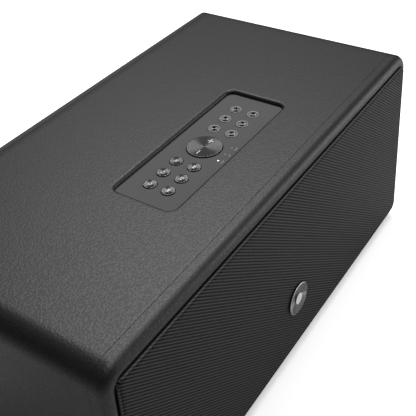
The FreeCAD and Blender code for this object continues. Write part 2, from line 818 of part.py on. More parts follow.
# The sunk metal plate of the control panel, with a hole for each key, the rocker and the lights
key_places = []
for side in (-1, 1):
    for row in (1, -1):
        for column in range(3):
            x = side * (key_first + key_pitch * column)
            key_places.append((side, row, column, x, rocker_y + row * key_pitch / 2))
light_places = [((i - (light_count - 1) / 2) * light_pitch, rocker_y - light_ahead)
                for i in range(light_count)]
plate = block_z(plate_fit - wood_half, wood_half - plate_fit,
                panel_middle_y - wood_deep + plate_fit, panel_middle_y + wood_deep - plate_fit,
                panel_corner + skin - plate_fit, plate_bottom, plate_top)
for x, y in stud_places:
    plate = plate.fuse(rod_z(x, y, stud_radius, board_top, plate_bottom))
    plate = plate.cut(rod_z(x, y, small_screw * screw_radius + screw_fit, board_top,
                            board_top + small_screw_length))
for side, row, column, x, y in key_places:
    plate = plate.cut(rod_z(x, y, key_radius + key_gap, plate_bottom, plate_top))
plate = plate.cut(rod_z(0, rocker_y, rocker_radius + rocker_gap, plate_bottom, plate_top))
for x, y in light_places:
    plate = plate.cut(rod_z(x, y, light_radius + light_fit, plate_bottom, plate_top))
nodes["control_plate"] = plate

# The board below it, with a light source under each light, and the screws that hold it
board_bottom = board_top - board_thickness
board = block_z(-board_width / 2, board_width / 2, panel_middle_y - board_depth / 2,
                panel_middle_y + board_depth / 2, panel_corner - board_gap, board_bottom, board_top)
for x, y in light_places:
    board = board.fuse(box(x - led_side / 2, x + led_side / 2, y - led_side / 2, y + led_side / 2,
                           board_top, board_top + led_height))
small_head = small_screw * screw_head
for x, y in stud_places:
    board = board.cut(rod_z(x, y, small_screw * screw_radius + screw_fit, board_bottom, board_top))
nodes["control_board"] = board
nodes["control_screws"] = together([
    screw(x, y, board_bottom - small_head, upwards,
          small_head + board_thickness + small_screw_bite, small_screw)
    for x, y in stud_places])
nodes["light_pipes"] = together([rod_z(x, y, light_radius, board_top + led_height, plate_top)
                                 for x, y in light_places])


def switch(x, y, z, direction):
    """A small push switch standing on a board at x, y, z, open towards direction."""
    half = switch_side / 2
    case = box(-half, half, -half, half, 0, switch_height)
    case = case.cut(rod_z(0, 0, key_stem_radius + switch_hole_gap, switch_height - switch_hole_depth,
                          switch_height))
    case.Placement = FreeCAD.Placement(V(x, y, z), FreeCAD.Rotation(V(0, 0, 1), direction))
    return case


switches = [switch(x, y, board_top, upwards) for side, row, column, x, y in key_places]
switches += [switch(sx * rocker_switch_x, rocker_y, board_top, upwards) for sx in (-1, 1)]
switches.append(switch(reset_x, circuit_y, row_z, toward_back))
nodes["push_switches"] = together(switches)

# The keys: a cap with a flange below the plate and a stem into the switch
stem_end = switch_top - key_stem_reach
key_names = {(-1, 1): ("key_pair", "key_source", "key_power"),
             (-1, -1): ("key_skip_forward", "key_play_pause", "key_skip_back"),
             (1, 1): ("key_preset_1", "key_preset_2", "key_preset_3"),
             (1, -1): ("key_preset_4", "key_preset_5", "key_preset_6")}
for side, row, column, x, y in key_places:
    flange_top = plate_bottom - key_slack
    crown = plate_top + (preset_rise if side > 0 else key_rise)
    cap = rod_z(x, y, key_radius, flange_top - key_flange, crown)
    cap = round_edges(cap, key_edge_radius, flat_at_z(crown))
    cap = cap.fuse(rod_z(x, y, key_flange_radius, flange_top - key_flange, flange_top))
    cap = cap.fuse(rod_z(x, y, key_stem_radius, stem_end, flange_top))
    reach = key_radius - dish_rim if side > 0 else key_radius - key_edge_radius
    floor = crown - dish_depth if side > 0 else crown
    ball = (reach * reach + hollow_depth * hollow_depth) / (2 * hollow_depth)
    hollow = Part.makeSphere(ball, V(x, y, floor + ball - hollow_depth))
    cap = cap.cut(hollow.common(rod_z(x, y, reach, floor - over, crown + over)))
    nodes[key_names[(side, row)][column]] = cap

# The volume rocker with its hub and two posts, and the bracket whose pin it tilts on
rocker_top = plate_top + rocker_rise
rocker_under = rocker_top - rocker_thickness
pin_z = rocker_under - pin_drop
disc = rod_z(0, rocker_y, rocker_radius, rocker_under, rocker_top)
disc = round_edges(disc, key_edge_radius, flat_at_z(rocker_top))
reach = rocker_radius - key_edge_radius
ball = (reach * reach + rocker_hollow * rocker_hollow) / (2 * rocker_hollow)
disc = disc.cut(Part.makeSphere(ball, V(0, rocker_y, rocker_top + ball - rocker_hollow)))
hub_end = pin_z - pin_radius - pin_fit - hub_wall
disc = disc.fuse(box(-hub_radius, hub_radius, rocker_y - hub_length / 2, rocker_y + hub_length / 2,
                     hub_end, rocker_under))
for sx in (-1, 1):
    disc = disc.fuse(rod_z(sx * rocker_switch_x, rocker_y, key_stem_radius, stem_end, rocker_under))
disc = disc.cut(rod_y(0, pin_z, pin_radius + pin_fit, rocker_y - hub_length, rocker_y + hub_length))
nodes["volume_rocker"] = disc
bracket = rod_y(0, pin_z, pin_radius, rocker_y - hub_length / 2 - bracket_gap - bracket_sheet,
                rocker_y + hub_length / 2 + bracket_gap + bracket_sheet)
for sy in (-1, 1):
    y0 = rocker_y + sy * (hub_length / 2 + bracket_gap)
    y1 = y0 + sy * bracket_sheet
    lug = box(-hub_radius, hub_radius, min(y0, y1), max(y0, y1), board_top, pin_z + hub_wall)
    bracket = bracket.fuse(lug)
nodes["rocker_bracket"] = bracket.removeSplitter()

# The rear connection plate and what sits in it
face = block_y(amp_left, amp_right, amp_low, amp_high, amp_corner, back - amp_thickness, back)
for x, z in rear_screw_places:
    face = face.cut(screw_hole(x, back, z, toward_front))
sockets = {"power_inlet": (inlet_x, inlet_width, inlet_height, inlet_hollow_width,
                           inlet_hollow_height, inlet_hollow_depth),
           "network_socket": (network_x, network_width, network_height, network_hollow_width,
                              network_hollow_height, network_hollow_depth)}
for name, (x, wide, high, hollow_wide, hollow_high, hollow_deep) in sockets.items():
    case = box(x - wide / 2, x + wide / 2, circuit_y, back, row_z - high / 2, row_z + high / 2)
    face = face.cut(box(x - wide / 2 - amp_fit, x + wide / 2 + amp_fit, circuit_y, back,
                        row_z - high / 2 - amp_fit, row_z + high / 2 + amp_fit))
    case = case.cut(box(x - hollow_wide / 2, x + hollow_wide / 2, back - hollow_deep, back,
                        row_z - hollow_high / 2, row_z + hollow_high / 2))
    if name == "power_inlet":
        for sx in (-1, 1):
            case = case.fuse(rod_y(x + sx * inlet_pin_spread / 2, row_z, inlet_pin_radius,
                                   back - hollow_deep, back - hollow_deep + inlet_pin_length))
    nodes[name] = case
half = aux_side / 2
case = box(aux_x - half, aux_x + half, circuit_y, back, row_z - half, row_z + half)
nodes["aux_jack"] = case.cut(rod_y(aux_x, row_z, aux_bore_radius, back - aux_bore_depth, back))
half = half + amp_fit
face = face.cut(box(aux_x - half, aux_x + half, circuit_y, back, row_z - half, row_z + half))
face = face.cut(rod_y(reset_x, row_z, reset_radius + reset_gap, back - amp_thickness, back))
nodes["connection_plate"] = face

flange_back = back - amp_thickness - key_slack
reset = rod_y(reset_x, row_z, reset_radius, flange_back - reset_flange, back)
reset = reset.fuse(rod_y(reset_x, row_z, reset_flange_radius, flange_back - reset_flange, flange_back))
reset = reset.fuse(rod_y(reset_x, row_z, key_stem_radius, circuit_y + switch_height - key_stem_reach,
                         flange_back))
nodes["key_reset"] = reset

# The two circuit boards behind the plate, on pillars, and the main parts on them
circuit_back = circuit_y - board_thickness
power_y = circuit_back - stack_gap
half_x = circuit_width / 2
half_z = circuit_height / 2
nodes["amplifier_board"] = box(amp_x - half_x, amp_x + half_x, circuit_back, circuit_y,
                               middle_z - half_z, middle_z + half_z)
nodes["power_board"] = box(amp_x - half_x, amp_x + half_x, power_y - board_thickness, power_y,
                           middle_z - half_z, middle_z + half_z)
pillars = []
for x, z in circuit_places:
    pillars.append(rod_y(x, z, standoff_radius, circuit_y, back - amp_thickness))
    pillars.append(rod_y(x, z, standoff_radius, power_y, circuit_back))
nodes["board_pillars"] = together(pillars)
sink_x = amp_x - half_x + sink_side
sink = box(sink_x, sink_x + sink_width, circuit_back - sink_base, circuit_back,
           middle_z - sink_height / 2, middle_z + sink_height / 2)
for i in range(sink_fins):
    x = sink_x + i * (sink_width - sink_fin) / (sink_fins - 1)
    sink = sink.fuse(box(x, x + sink_fin, circuit_back - sink_depth, circuit_back,
                         middle_z - sink_height / 2, middle_z + sink_height / 2))
nodes["heat_sink"] = sink.removeSplitter()
module_x = amp_x + half_x - sink_side - module_width
nodes["wireless_module"] = box(module_x, module_x + module_width, circuit_back - module_depth,
                               circuit_back, middle_z - module_height / 2, middle_z + module_height / 2)
power_front = power_y - board_thickness
can_end = power_front - cap_can_length
cans = []
for column in range(2):
    for row in (-0.5, 0.5):
        x = amp_x + half_x - can_inset - can_pitch * column
        can = rod_y(x, middle_z + can_pitch * row, cap_can_radius, can_end, power_front)
        cans.append(round_edges(can, can_rounding, flat_at_y(can_end)))
nodes["smoothing_capacitors"] = together(cans)
nodes["transformer"] = box(sink_x, sink_x + transformer_side, power_front - transformer_height,
                           power_front, middle_z - transformer_side / 2, middle_z + transformer_side / 2)
rear_screws = [screw(x, back, z, toward_front) for x, z in rear_screw_places]

# All the wood screws are alike: in the feet, the drivers and the connection plate
nodes["wood_screws"] = together(foot_screws + driver_screws + rear_screws)

# The soft mat on the cabinet's floor
edge = inside + mat_inset
floor_z = bottom + inside + soft_gap
nodes["damping_mat"] = block_z(left + edge, right - edge, baffle_back + mat_inset,
                               rear_inside - mat_inset, mat_inset, floor_z, floor_z + mat_thickness)

for shape_name, shape in nodes.items():
    shape.exportStep("parts/" + shape_name + ".step")
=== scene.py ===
import math

import bmesh
import bpy
import numpy as np
from mathutils import Euler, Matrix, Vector


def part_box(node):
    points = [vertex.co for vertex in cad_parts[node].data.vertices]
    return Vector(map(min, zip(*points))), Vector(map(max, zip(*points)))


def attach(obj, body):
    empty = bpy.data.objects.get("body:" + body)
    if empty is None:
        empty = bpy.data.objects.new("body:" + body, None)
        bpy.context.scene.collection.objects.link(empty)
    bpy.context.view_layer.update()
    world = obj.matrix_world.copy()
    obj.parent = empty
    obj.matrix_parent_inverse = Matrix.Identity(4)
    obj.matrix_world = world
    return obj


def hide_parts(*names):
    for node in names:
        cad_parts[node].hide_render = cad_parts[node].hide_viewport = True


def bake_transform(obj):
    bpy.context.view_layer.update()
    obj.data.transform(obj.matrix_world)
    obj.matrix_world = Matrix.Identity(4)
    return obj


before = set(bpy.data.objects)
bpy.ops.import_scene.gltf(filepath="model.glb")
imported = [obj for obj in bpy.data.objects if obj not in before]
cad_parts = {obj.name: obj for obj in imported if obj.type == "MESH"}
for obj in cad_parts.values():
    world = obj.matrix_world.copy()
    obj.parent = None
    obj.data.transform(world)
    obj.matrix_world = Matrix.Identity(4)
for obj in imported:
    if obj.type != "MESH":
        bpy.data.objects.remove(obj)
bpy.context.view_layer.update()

# The view: a product camera to the front left and above, close enough that the box runs out of the
# picture at its left, lower and right edges. Its place and turn were fitted to the box's edges; the
# picture is the lower part of a taller one, so the lens is shifted down.
view_place = (-0.4242, -0.3441, 0.5492)
view_turn = (59.890, 3.468, -56.182)
view_lens = 67.767
view_drop = -0.2817


def put_up(name, data):
    """A new object with its data, put in the scene."""
    thing = bpy.data.objects.new(name, data)
    bpy.context.scene.collection.objects.link(thing)
    return thing


camera = put_up("product_camera", bpy.data.cameras.new("product_camera"))
camera.location = view_place
camera.rotation_euler = Euler([math.radians(a) for a in view_turn], "XYZ")
camera.data.sensor_width = 36.0
camera.data.lens = view_lens
camera.data.shift_y = view_drop
camera.data.clip_start = 0.01
bpy.context.scene.camera = camera
bpy.context.scene.view_settings.view_transform = "Standard"

# The studio: a white table, a long softbox high behind the box on its right, a soft one overhead
# and a tall one that stands on the table at the front right. The rest of the room is dim.


def lamp(name, place, target, size, power):
    """A rectangular softbox at place that faces target."""
    data = bpy.data.lights.new(name, "AREA")
    data.shape = "RECTANGLE"
    data.size, data.size_y = size
    data.energy = power
    softbox = put_up(name, data)
    softbox.location = place
    softbox.rotation_euler = (Vector(target) - Vector(place)).to_track_quat("-Z", "Y").to_euler()
    softbox.visible_camera = False


box_middle = (0.0, 0.0, 0.12)
lamp("back_softbox", (0.816, 0.611, 1.603), box_middle, (0.92, 0.30), 20.5)
lamp("top_softbox", (0.192, -0.332, 1.879), box_middle, (0.80, 0.80), 15.4)
lamp("front_softbox", (1.291, -1.238, 0.42), box_middle, (0.65, 0.78), 10.7)


def camera_sees(tree, seen, other, target):
    """Ends a node tree: the camera sees one shader and every other ray meets the other."""
    out = tree.nodes.new("ShaderNodeOutput" + target)
    ray = tree.nodes.new("ShaderNodeLightPath")
    choose = tree.nodes.new("ShaderNodeMixShader")
    tree.links.new(ray.outputs["Is Camera Ray"], choose.inputs[0])
    tree.links.new(other.outputs[0], choose.inputs[1])
    tree.links.new(seen.outputs[0], choose.inputs[2])
    tree.links.new(choose.outputs[0], out.inputs["Surface"])


# To the camera the table glows and takes a little light, so that only the box's shadow shows on it.
table_half = 6.0
table_bounce, table_seen, table_glow = 0.92, 0.98, 0.51
room_seen, room_dim = 1.0, 0.035
floor_mesh = bpy.data.meshes.new("white_table")
floor_mesh.from_pydata([(-table_half, -table_half, 0), (table_half, -table_half, 0),
                        (table_half, table_half, 0), (-table_half, table_half, 0)], [], [(0, 1, 2, 3)])
floor = put_up("white_table", floor_mesh)

table_paint = bpy.data.materials.new("white_table")
table_paint.use_nodes = True
net = table_paint.node_tree
net.nodes.clear()
matt = net.nodes.new("ShaderNodeBsdfDiffuse")
matt.inputs["Color"].default_value = (table_bounce, table_bounce, table_bounce, 1)
faint = net.nodes.new("ShaderNodeBsdfDiffuse")
faint.inputs["Color"].default_value = (table_seen, table_seen, table_seen, 1)
glow = net.nodes.new("ShaderNodeEmission")
glow.inputs["Strength"].default_value = table_glow
white = net.nodes.new("ShaderNodeAddShader")
net.links.new(faint.outputs[0], white.inputs[0])
net.links.new(glow.outputs[0], white.inputs[1])
camera_sees(net, white, matt, "Material")
floor.data.materials.append(table_paint)

room = bpy.data.worlds.new("studio_room")
bpy.context.scene.world = room
room.use_nodes = True
net = room.node_tree
net.nodes.clear()
walls = []
for strength in (room_seen, room_dim):
    wall = net.nodes.new("ShaderNodeBackground")
    wall.inputs["Color"].default_value = (1, 1, 1, 1)
    wall.inputs["Strength"].default_value = strength
    walls.append(wall)
camera_sees(net, *walls, "World")

# The front band of the leather: black cloth-backed leather with a fine pebble grain, cut in three pieces and
# glued on. This one runs from the seam over the front rounding and the lip into the grille's opening.
half_width = 0.225
low_side, high_side = 0.005, 0.195
middle_height = 0.100
front_plane = -0.1133
corner_round = 0.0165
lip_round = 0.0076
lip_width = 0.0092
opening_round = 0.0086
opening_rim = 0.0013
seam_from_front = 0.0124
seam_half_gap = 0.00004
leather_thickness = 0.0009
turned_edge = 0.00015
lining_end = -0.0953


def outline(inset, radius, along_x=96, along_z=40, corner=20):
    """A rounded rectangle seen from the front, as points round the loop: quarter circles of the radius at
    its corners, and straight sides between them."""
    w, h = half_width - inset - radius, (high_side - low_side) / 2 - inset - radius
    turn = np.linspace(0, np.pi / 2, corner + 1)
    span_x, span_z = np.linspace(-1, 1, along_x + 1)[1:-1], np.linspace(-1, 1, along_z + 1)[1:-1]
    parts = []
    for k, (cx, cz) in enumerate(((w, h), (-w, h), (-w, -h), (w, -h))):
        a = turn + k * np.pi / 2
        parts.append(np.array([cx, cz]) + radius * np.stack([np.cos(a), np.sin(a)], -1))
        line = (-span_x, -span_z, span_x, span_z)[k]
        if k % 2 == 0:
            parts.append(np.stack([line * w, np.full_like(line, (h + radius) * (1 - k))], -1))
        else:
            parts.append(np.stack([np.full_like(line, (w + radius) * (k - 2)), line * h], -1))
    return np.concatenate(parts) + [0.0, middle_height]


same_point, no_size = 2e-7, 1e-8


def lay_grid(name, points, surface_map=None, closed=True, turned=False):
    """A surface from a grid of points. Rows follow each other along the first index, which closes on itself
    where closed is true; each four neighbours are one face. Points that coincide are made one.
    The faces look to the left of the way from row to row, or to the right where turned is true."""
    rows, columns = points.shape[:2]
    i, j = np.meshgrid(np.arange(rows if closed else rows - 1), np.arange(columns - 1), indexing="ij")
    k = (i + 1) % rows
    corners = [i * columns + j, k * columns + j, k * columns + j + 1, i * columns + j + 1]
    faces = np.stack(corners[::-1] if turned else corners, -1)
    mesh = bpy.data.meshes.new(name)
    mesh.from_pydata(points.reshape(-1, 3).tolist(), [], faces.reshape(-1, 4).tolist())
    if surface_map is not None:
        places = [surface_map[i, j], surface_map[i + 1, j], surface_map[i + 1, j + 1], surface_map[i, j + 1]]
        layer = mesh.uv_layers.new(name="UVMap")
        layer.data.foreach_set("uv", np.stack(places[::-1] if turned else places, -2).reshape(-1))
    mesh.polygons.foreach_set("use_smooth", np.ones(len(mesh.polygons), bool))
    work = bmesh.new()
    work.from_mesh(mesh)
    bmesh.ops.remove_doubles(work, verts=work.verts, dist=same_point)
    bmesh.ops.dissolve_degenerate(work, edges=work.edges, dist=no_size)
    work.to_mesh(mesh)
    work.free()
    mesh.update()
    return put_up(name, mesh)


def arc(center, radius, start, end, count):
    """Points on a circle between two angles in degrees."""
    a = np.radians(np.linspace(start, end, count))
    return np.stack([center[0] + radius * np.cos(a), center[1] + radius * np.sin(a)], -1)


def carry_profile(profile, radius_at):
    """Carries a profile round the box. A profile point is (inset from the outer face, depth);
    radius_at gives the corner's radius for an inset. Returns the points and a map in metres."""
    profile = np.array(profile)
    flat = np.stack([outline(inset, radius_at(inset)) for inset in profile[:, 0]], 1)
    depth = np.broadcast_to(profile[:, 1], flat.shape[:2])
    points = np.stack([flat[..., 0], depth, flat[..., 1]], -1)
    step = np.linalg.norm(np.diff(np.vstack([flat[:, -1], flat[:1, -1]]), axis=0), axis=1)
    along = np.concatenate([[0], np.cumsum(step)])
    across = np.concatenate([[0], np.cumsum(np.linalg.norm(np.diff(profile, axis=0), axis=1))])
    return points, np.stack(np.meshgrid(along, across, indexing="ij"), -1)


def front_corner(inset):
    """The corner's radius: the outer one's centre as far as the lip, then the opening's own."""
    centre = np.interp(inset, [lip_round, lip_width - opening_rim],
                       [corner_round, lip_width + opening_round])
    return centre - inset


seam_edge = front_plane + seam_from_front - seam_half_gap
band_profile = np.concatenate([
    np.stack([np.full(6, lip_width), np.linspace(lining_end, front_plane + opening_rim, 6)], -1),
    arc((lip_width - opening_rim, front_plane + opening_rim), opening_rim, 0, -90, 9)[1:],
    arc((lip_round, front_plane + lip_round), lip_round, -90, -180, 17),
    np.stack([np.zeros(6), np.linspace(front_plane + lip_round, seam_edge - turned_edge, 7)[1:]], -1),
    arc((turned_edge, seam_edge - turned_edge), turned_edge, 180, 90, 5)[1:],
    [[leather_thickness, seam_edge]]])
band_points, band_map = carry_profile(band_profile, front_corner)
front_band = lay_grid("leather_front_band_skin", band_points, band_map, turned=True)


def finish(name):
    """A new material, as three short ways to work on it: add a node, calc a sum, paint the main shader.
    A setting goes by the name of a property or of a socket, with an underscore for each space; a socket
    takes a value, or another node's socket that is joined to it."""
    material = bpy.data.materials.new(name)
    material.use_nodes = True
    tree = material.node_tree

    def feed(socket, value):
        """Joins a socket to another, or sets its value."""
        if isinstance(value, bpy.types.NodeSocket):
            tree.links.new(value, socket)
        else:
            socket.default_value = value

    def settle(node, settings):
        """Sets a node's properties and feeds its sockets."""
        for key, value in settings.items():
            if hasattr(node, key):
                setattr(node, key, value)
            else:
                feed(node.inputs[key.replace("_", " ")], value)
        return node

    def add(kind, **settings):
        """Adds a node of the kind, with its settings."""
        return settle(tree.nodes.new("ShaderNode" + kind), settings)

    def calc(operation, *values, kind="Math"):
        """Adds a sum of up to three values and gives its result."""
        node = add(kind, operation=operation)
        for socket, value in zip(node.inputs, values):
            feed(socket, value)
        return node.outputs[0]

    def paint(**settings):
        """Sets the main shader and gives the material."""
        settle(tree.nodes["Principled BSDF"], settings)
        return material
    return add, calc, paint


def ramp(add, factor, dark, light, ends=(0.0, 1.0)):
    """A colour that runs from dark to light while the factor goes from one end to the other."""
    tone = add("ValToRGB", Fac=factor)
    for stop, place, colour in zip(tone.color_ramp.elements, ends, (dark, light)):
        stop.position = place
        stop.color = tuple(colour) + (1,)
    return tone.outputs["Color"]


def pebble_leather(name):
    """Rounded pebbles about a millimetre and a half across, parted by fine creases, over a slow swell."""
    add, calc, paint = finish(name)
    sway_reach, fine_share = 0.0010, 0.2
    place = add("TexCoord").outputs["Object"]
    sway = add("TexNoise", Vector=place, Scale=290.0, Detail=2.0).outputs["Color"]
    shifted = calc("MULTIPLY_ADD", sway, (sway_reach,) * 3, place, kind="VectorMath")
    pebbles = add("TexVoronoi", feature="SMOOTH_F1", Vector=shifted, Scale=640.0, Smoothness=0.35)
    fine = add("TexNoise", Vector=place, Scale=2200.0, Detail=2.0).outputs["Fac"]
    swell = add("TexNoise", Vector=place, Scale=55.0, Detail=3.0).outputs["Fac"]
    crown = add("MapRange", interpolation_type="SMOOTHSTEP", Value=pebbles.outputs["Distance"],
                From_Min=0.15, From_Max=0.75, To_Min=1.0, To_Max=0.0).outputs[0]
    relief = calc("MULTIPLY_ADD", fine, fine_share, crown)
    grain = add("Bump", Strength=0.33, Distance=0.00018, Height=relief).outputs[0]
    # The colour is darker in the creases between the pebbles, a painted shade, and lighter on their crowns.
    return paint(Base_Color=ramp(add, crown, (0.007, 0.007, 0.0072), (0.014, 0.014, 0.0144)),
                 Normal=add("Bump", Strength=0.2, Distance=0.0003, Height=swell, Normal=grain).outputs[0],
                 Roughness=add("MapRange", Value=crown, To_Min=0.52, To_Max=0.45).outputs[0],
                 Specular_IOR_Level=0.46)


leather = pebble_leather("pebble_leather")
front_band.data.materials.append(leather)
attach(front_band, "cabinet")
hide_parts("leather_front_band")

# The main wrap: leather glued round the box between the two seams, and turned down into the panel's pocket.
# The sides are one swept strip, and the top is a sheet from the pocket's floor to its four edges.
back_plane = 0.1167
back_seam = 0.0065
pocket_half = 0.0834
pocket_deep = 0.0281
pocket_middle = -0.0304
pocket_corner = 0.0064
pocket_floor = 0.1913
pocket_rim = 0.0030
pocket_wall = 0.0012
top_rings, ring_crowding = 22, 1.4
pocket_turn_points, pocket_side_points = 15, (42, 16)
same_place, seam_weld, tiny = 1e-7, 1e-6, 1e-12
top_edge = half_width - corner_round
wrap_start = front_plane + seam_from_front + seam_half_gap
wrap_end = back_plane - back_seam - seam_half_gap


def pocket_outline(grow):
    """The pocket's rounded rectangle, grown outwards, as a loop of points: quarter circles at the corners
    and straight sides between them."""
    w, d, radius = pocket_half - pocket_corner, pocket_deep - pocket_corner, pocket_corner + grow
    turn = np.linspace(0, np.pi / 2, pocket_turn_points)
    corners = np.array([(w, d), (-w, d), (-w, -d), (w, -d)])
    rounds = [corner + radius * np.stack([np.cos(turn + a), np.sin(turn + a)], -1)
              for corner, a in zip(corners, np.arange(4) * np.pi / 2)]
    sides = [a[-1] + np.linspace(0, 1, n)[1:-1, None] * (b[0] - a[-1])
             for a, b, n in zip(rounds, rounds[1:] + rounds[:1], 2 * pocket_side_points)]
    return np.concatenate([part for pair in zip(rounds, sides) for part in pair]) + [0.0, pocket_middle]


def ring_at(flat, height):
    """A flat loop of points, laid at one height."""
    return np.column_stack([flat, np.full(len(flat), height)])


sheet_end = np.array([[-top_edge, wrap_start + turned_edge], [top_edge, wrap_end - turned_edge]])
pocket_rings = [ring_at(pocket_outline(0), h)
                for h in np.linspace(pocket_floor - pocket_wall, high_side - pocket_rim, 5)]
pocket_rings += [ring_at(pocket_outline(grow), high_side + drop)
                 for grow, drop in arc((pocket_rim, -pocket_rim), pocket_rim, 180, 90, 9)[1:]]

# From the pocket's rim the sheet goes straight out from the pocket's middle until it meets an edge; the
# points next to the sheet's four corners are moved into them.
inner = pocket_outline(pocket_rim)
away = inner - [0.0, pocket_middle]
space = np.where(away > 0, sheet_end[1], sheet_end[0]) - [0.0, pocket_middle]
reach = space / np.where(np.abs(away) < tiny, tiny, away)
outer = away * np.abs(reach).min(axis=1, keepdims=True) + [0.0, pocket_middle]
for corner in ((0, 0), (0, 1), (1, 0), (1, 1)):
    place = np.array([sheet_end[corner[0], 0], sheet_end[corner[1], 1]])
    outer[np.argmin(np.linalg.norm(outer - place, axis=1))] = place
for limit in sheet_end:
    outer = np.where(np.abs(outer - limit) < same_place, limit, outer)
pocket_rings += [ring_at(inner + share * (outer - inner), high_side)
                 for share in np.linspace(0, 1, top_rings)[1:] ** ring_crowding]
top_sheet = lay_grid("leather_wrap_top", np.stack(pocket_rings, 1), turned=True)

# The sides' strip has its cross rows where the sheet's points lie, and leaves the top free. The two seam
# edges of the top are laid by themselves, and all of it is welded into one skin.
side_depths = np.sort(outer[outer[:, 0] == -top_edge, 1])
edge_rows = 6
strip_profile = np.concatenate([
    [[leather_thickness, wrap_start]],
    arc((turned_edge, wrap_start + turned_edge), turned_edge, -90, -180, edge_rows - 1),
    np.stack([np.zeros(len(side_depths) - 1), side_depths[1:]], -1),
    arc((turned_edge, wrap_end - turned_edge), turned_edge, 180, 90, edge_rows - 1)[1:],
    [[leather_thickness, wrap_end]]])
strip_points, _ = carry_profile(strip_profile, lambda inset: corner_round - inset)
on_top = strip_points[:, len(strip_profile) // 2, 2] > high_side - same_place
first = np.argmin(strip_points[:, 0, 0] + 10 * ~on_top)
inside_top = on_top & np.roll(on_top, 1) & np.roll(on_top, -1)
side_strip = np.roll(strip_points, -first, axis=0)[~np.roll(inside_top, -first)]
parts = [top_sheet, lay_grid("leather_wrap_sides", side_strip, closed=False, turned=True)]
for rows, edge in ((strip_profile[:edge_rows], sheet_end[0, 1]),
                   (strip_profile[-edge_rows:], sheet_end[1, 1])):
    run = np.sort(outer[outer[:, 1] == edge, 0])[::-1]
    depth, height = np.meshgrid(run, rows[:, 1], indexing="ij")[1], high_side - rows[:, 0]
    parts.append(lay_grid("leather_wrap_seam",
                          np.stack([np.broadcast_to(run[:, None], depth.shape), depth,
                                    np.broadcast_to(height, depth.shape)], -1), closed=False, turned=True))

wrap = bmesh.new()
for part in parts:
    wrap.from_mesh(part.data)
    bpy.data.objects.remove(part)
bmesh.ops.remove_doubles(wrap, verts=wrap.verts, dist=seam_weld)
wrap_mesh = bpy.data.meshes.new("leather_wrap_skin")
wrap.to_mesh(wrap_mesh)
wrap.free()
wrap_mesh.polygons.foreach_set("use_smooth", np.ones(len(wrap_mesh.polygons), bool))
main_wrap = put_up("leather_wrap_skin", wrap_mesh)
main_wrap.data.materials.append(leather)
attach(main_wrap, "cabinet")
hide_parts("leather_wrap")

# The rear cover: the third piece of the same leather, glued on the back board and turned round its edge
# as far as the rear seam.
sharp_angle, dress_weld = 35.0, 1e-6


def dress(node, material, angle=sharp_angle):
    """A carried-over piece gets its finish, with its round faces smooth and its edges sharp."""
    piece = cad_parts[node]
    piece.data.materials.clear()
    piece.data.materials.append(material)
    piece.data.polygons.foreach_set("use_smooth", np.ones(len(piece.data.polygons), bool))
    weld = piece.modifiers.new("weld", "WELD")
    weld.merge_threshold = dress_weld
    split = piece.modifiers.new("edges", "EDGE_SPLIT")
    split.split_angle = math.radians(angle)
    even = piece.modifiers.new("even", "WEIGHTED_NORMAL")
    even.keep_sharp = True


dress("leather_rear_cover", leather)


# The cabinet's box, front board and rear board: medium-density fibreboard, sawn, routed and glued, and
# left raw inside.
def fibreboard_finish():
    """Pale brown board, mottled by its fibres."""
    add, _, paint = finish("raw_fibreboard")
    place = add("TexCoord").outputs["Object"]
    fibres = add("TexNoise", Vector=place, Scale=900.0, Detail=6.0, Roughness=0.7).outputs["Fac"]
    return paint(Base_Color=ramp(add, fibres, (0.24, 0.165, 0.105), (0.42, 0.31, 0.21), (0.3, 0.7)),
                 Normal=add("Bump", Strength=0.3, Distance=0.0001, Height=fibres).outputs[0],
                 Roughness=0.85)


fibreboard = fibreboard_finish()
for node in ("cabinet_body", "front_baffle", "rear_board"):
    dress(node, fibreboard)

# The grille: a moulded lattice with pegs, under a coarse black twill stretched over its face and edges and
# glued behind. Each yarn floats over two and under one, one step further on each time, which makes the
# slanting ribs. A cord turned into the cloth's edge stands up as a hem, with a groove inside it.
grille_inset = 0.0100
grille_corner = 0.0078
grille_face = -0.1151
grille_back = -0.1075
hem_cord = 0.0008
hem_end = 330
hem_points = 16
wall_points = 5
face_points = 25
groove_width = 0.0008
groove_depth = 0.0003
cloth_sunk = 0.0003
cloth_end = 0.095
climb = np.linspace(0, 1, 9)[1:]
hem_start = 0.0107
hem_fade = 0.0003
# How much painted highlight the hem's crest gets, and below, how dark the painted shade outside it is.
hem_highlight_level = 0.055
hem_crest = 0.0013
hem_shade = 0.1
yarn_across = 0.00125
yarn_up = 0.0009617
yarn_repeat = 3


def grille_round(inset):
    """The corner's radius at an inset: the rings share one centre, and further in the corner is square."""
    return max(grille_inset + grille_corner - inset, 0.0)


hem = arc((grille_inset + hem_cord, grille_face + hem_cord), hem_cord, 180, hem_end, hem_points + 1)[1:]
groove = hem[-1, 1] * (1 - climb) + (grille_face + cloth_sunk) * climb + groove_depth * np.sin(np.pi * climb)
cloth_profile = np.concatenate([
    np.stack([np.full(wall_points, grille_inset),
              np.linspace(grille_back, grille_face + hem_cord, wall_points)], -1),
    hem,
    np.stack([hem[-1, 0] + climb * groove_width, groove], -1),
    np.stack([np.linspace(hem[-1, 0] + groove_width, cloth_end, face_points + 1)[1:],
              np.full(face_points, grille_face + cloth_sunk)], -1)])
cloth_points, _ = carry_profile(cloth_profile, grille_round)
fold = wall_points - 1 + hem_points // 2
lengths = np.linalg.norm(np.diff(cloth_profile, axis=0), axis=1)
laid_flat = cloth_profile[:, 0].copy()
laid_flat[:fold] = laid_flat[fold] - np.cumsum(lengths[:fold][::-1])[::-1]
flat_loops = np.stack([outline(inset, grille_round(inset)) for inset in laid_flat], 1)
cloth_map = np.concatenate([flat_loops, flat_loops[:1]])
cloth = lay_grid("grille_cloth_sheet", cloth_points, cloth_map)


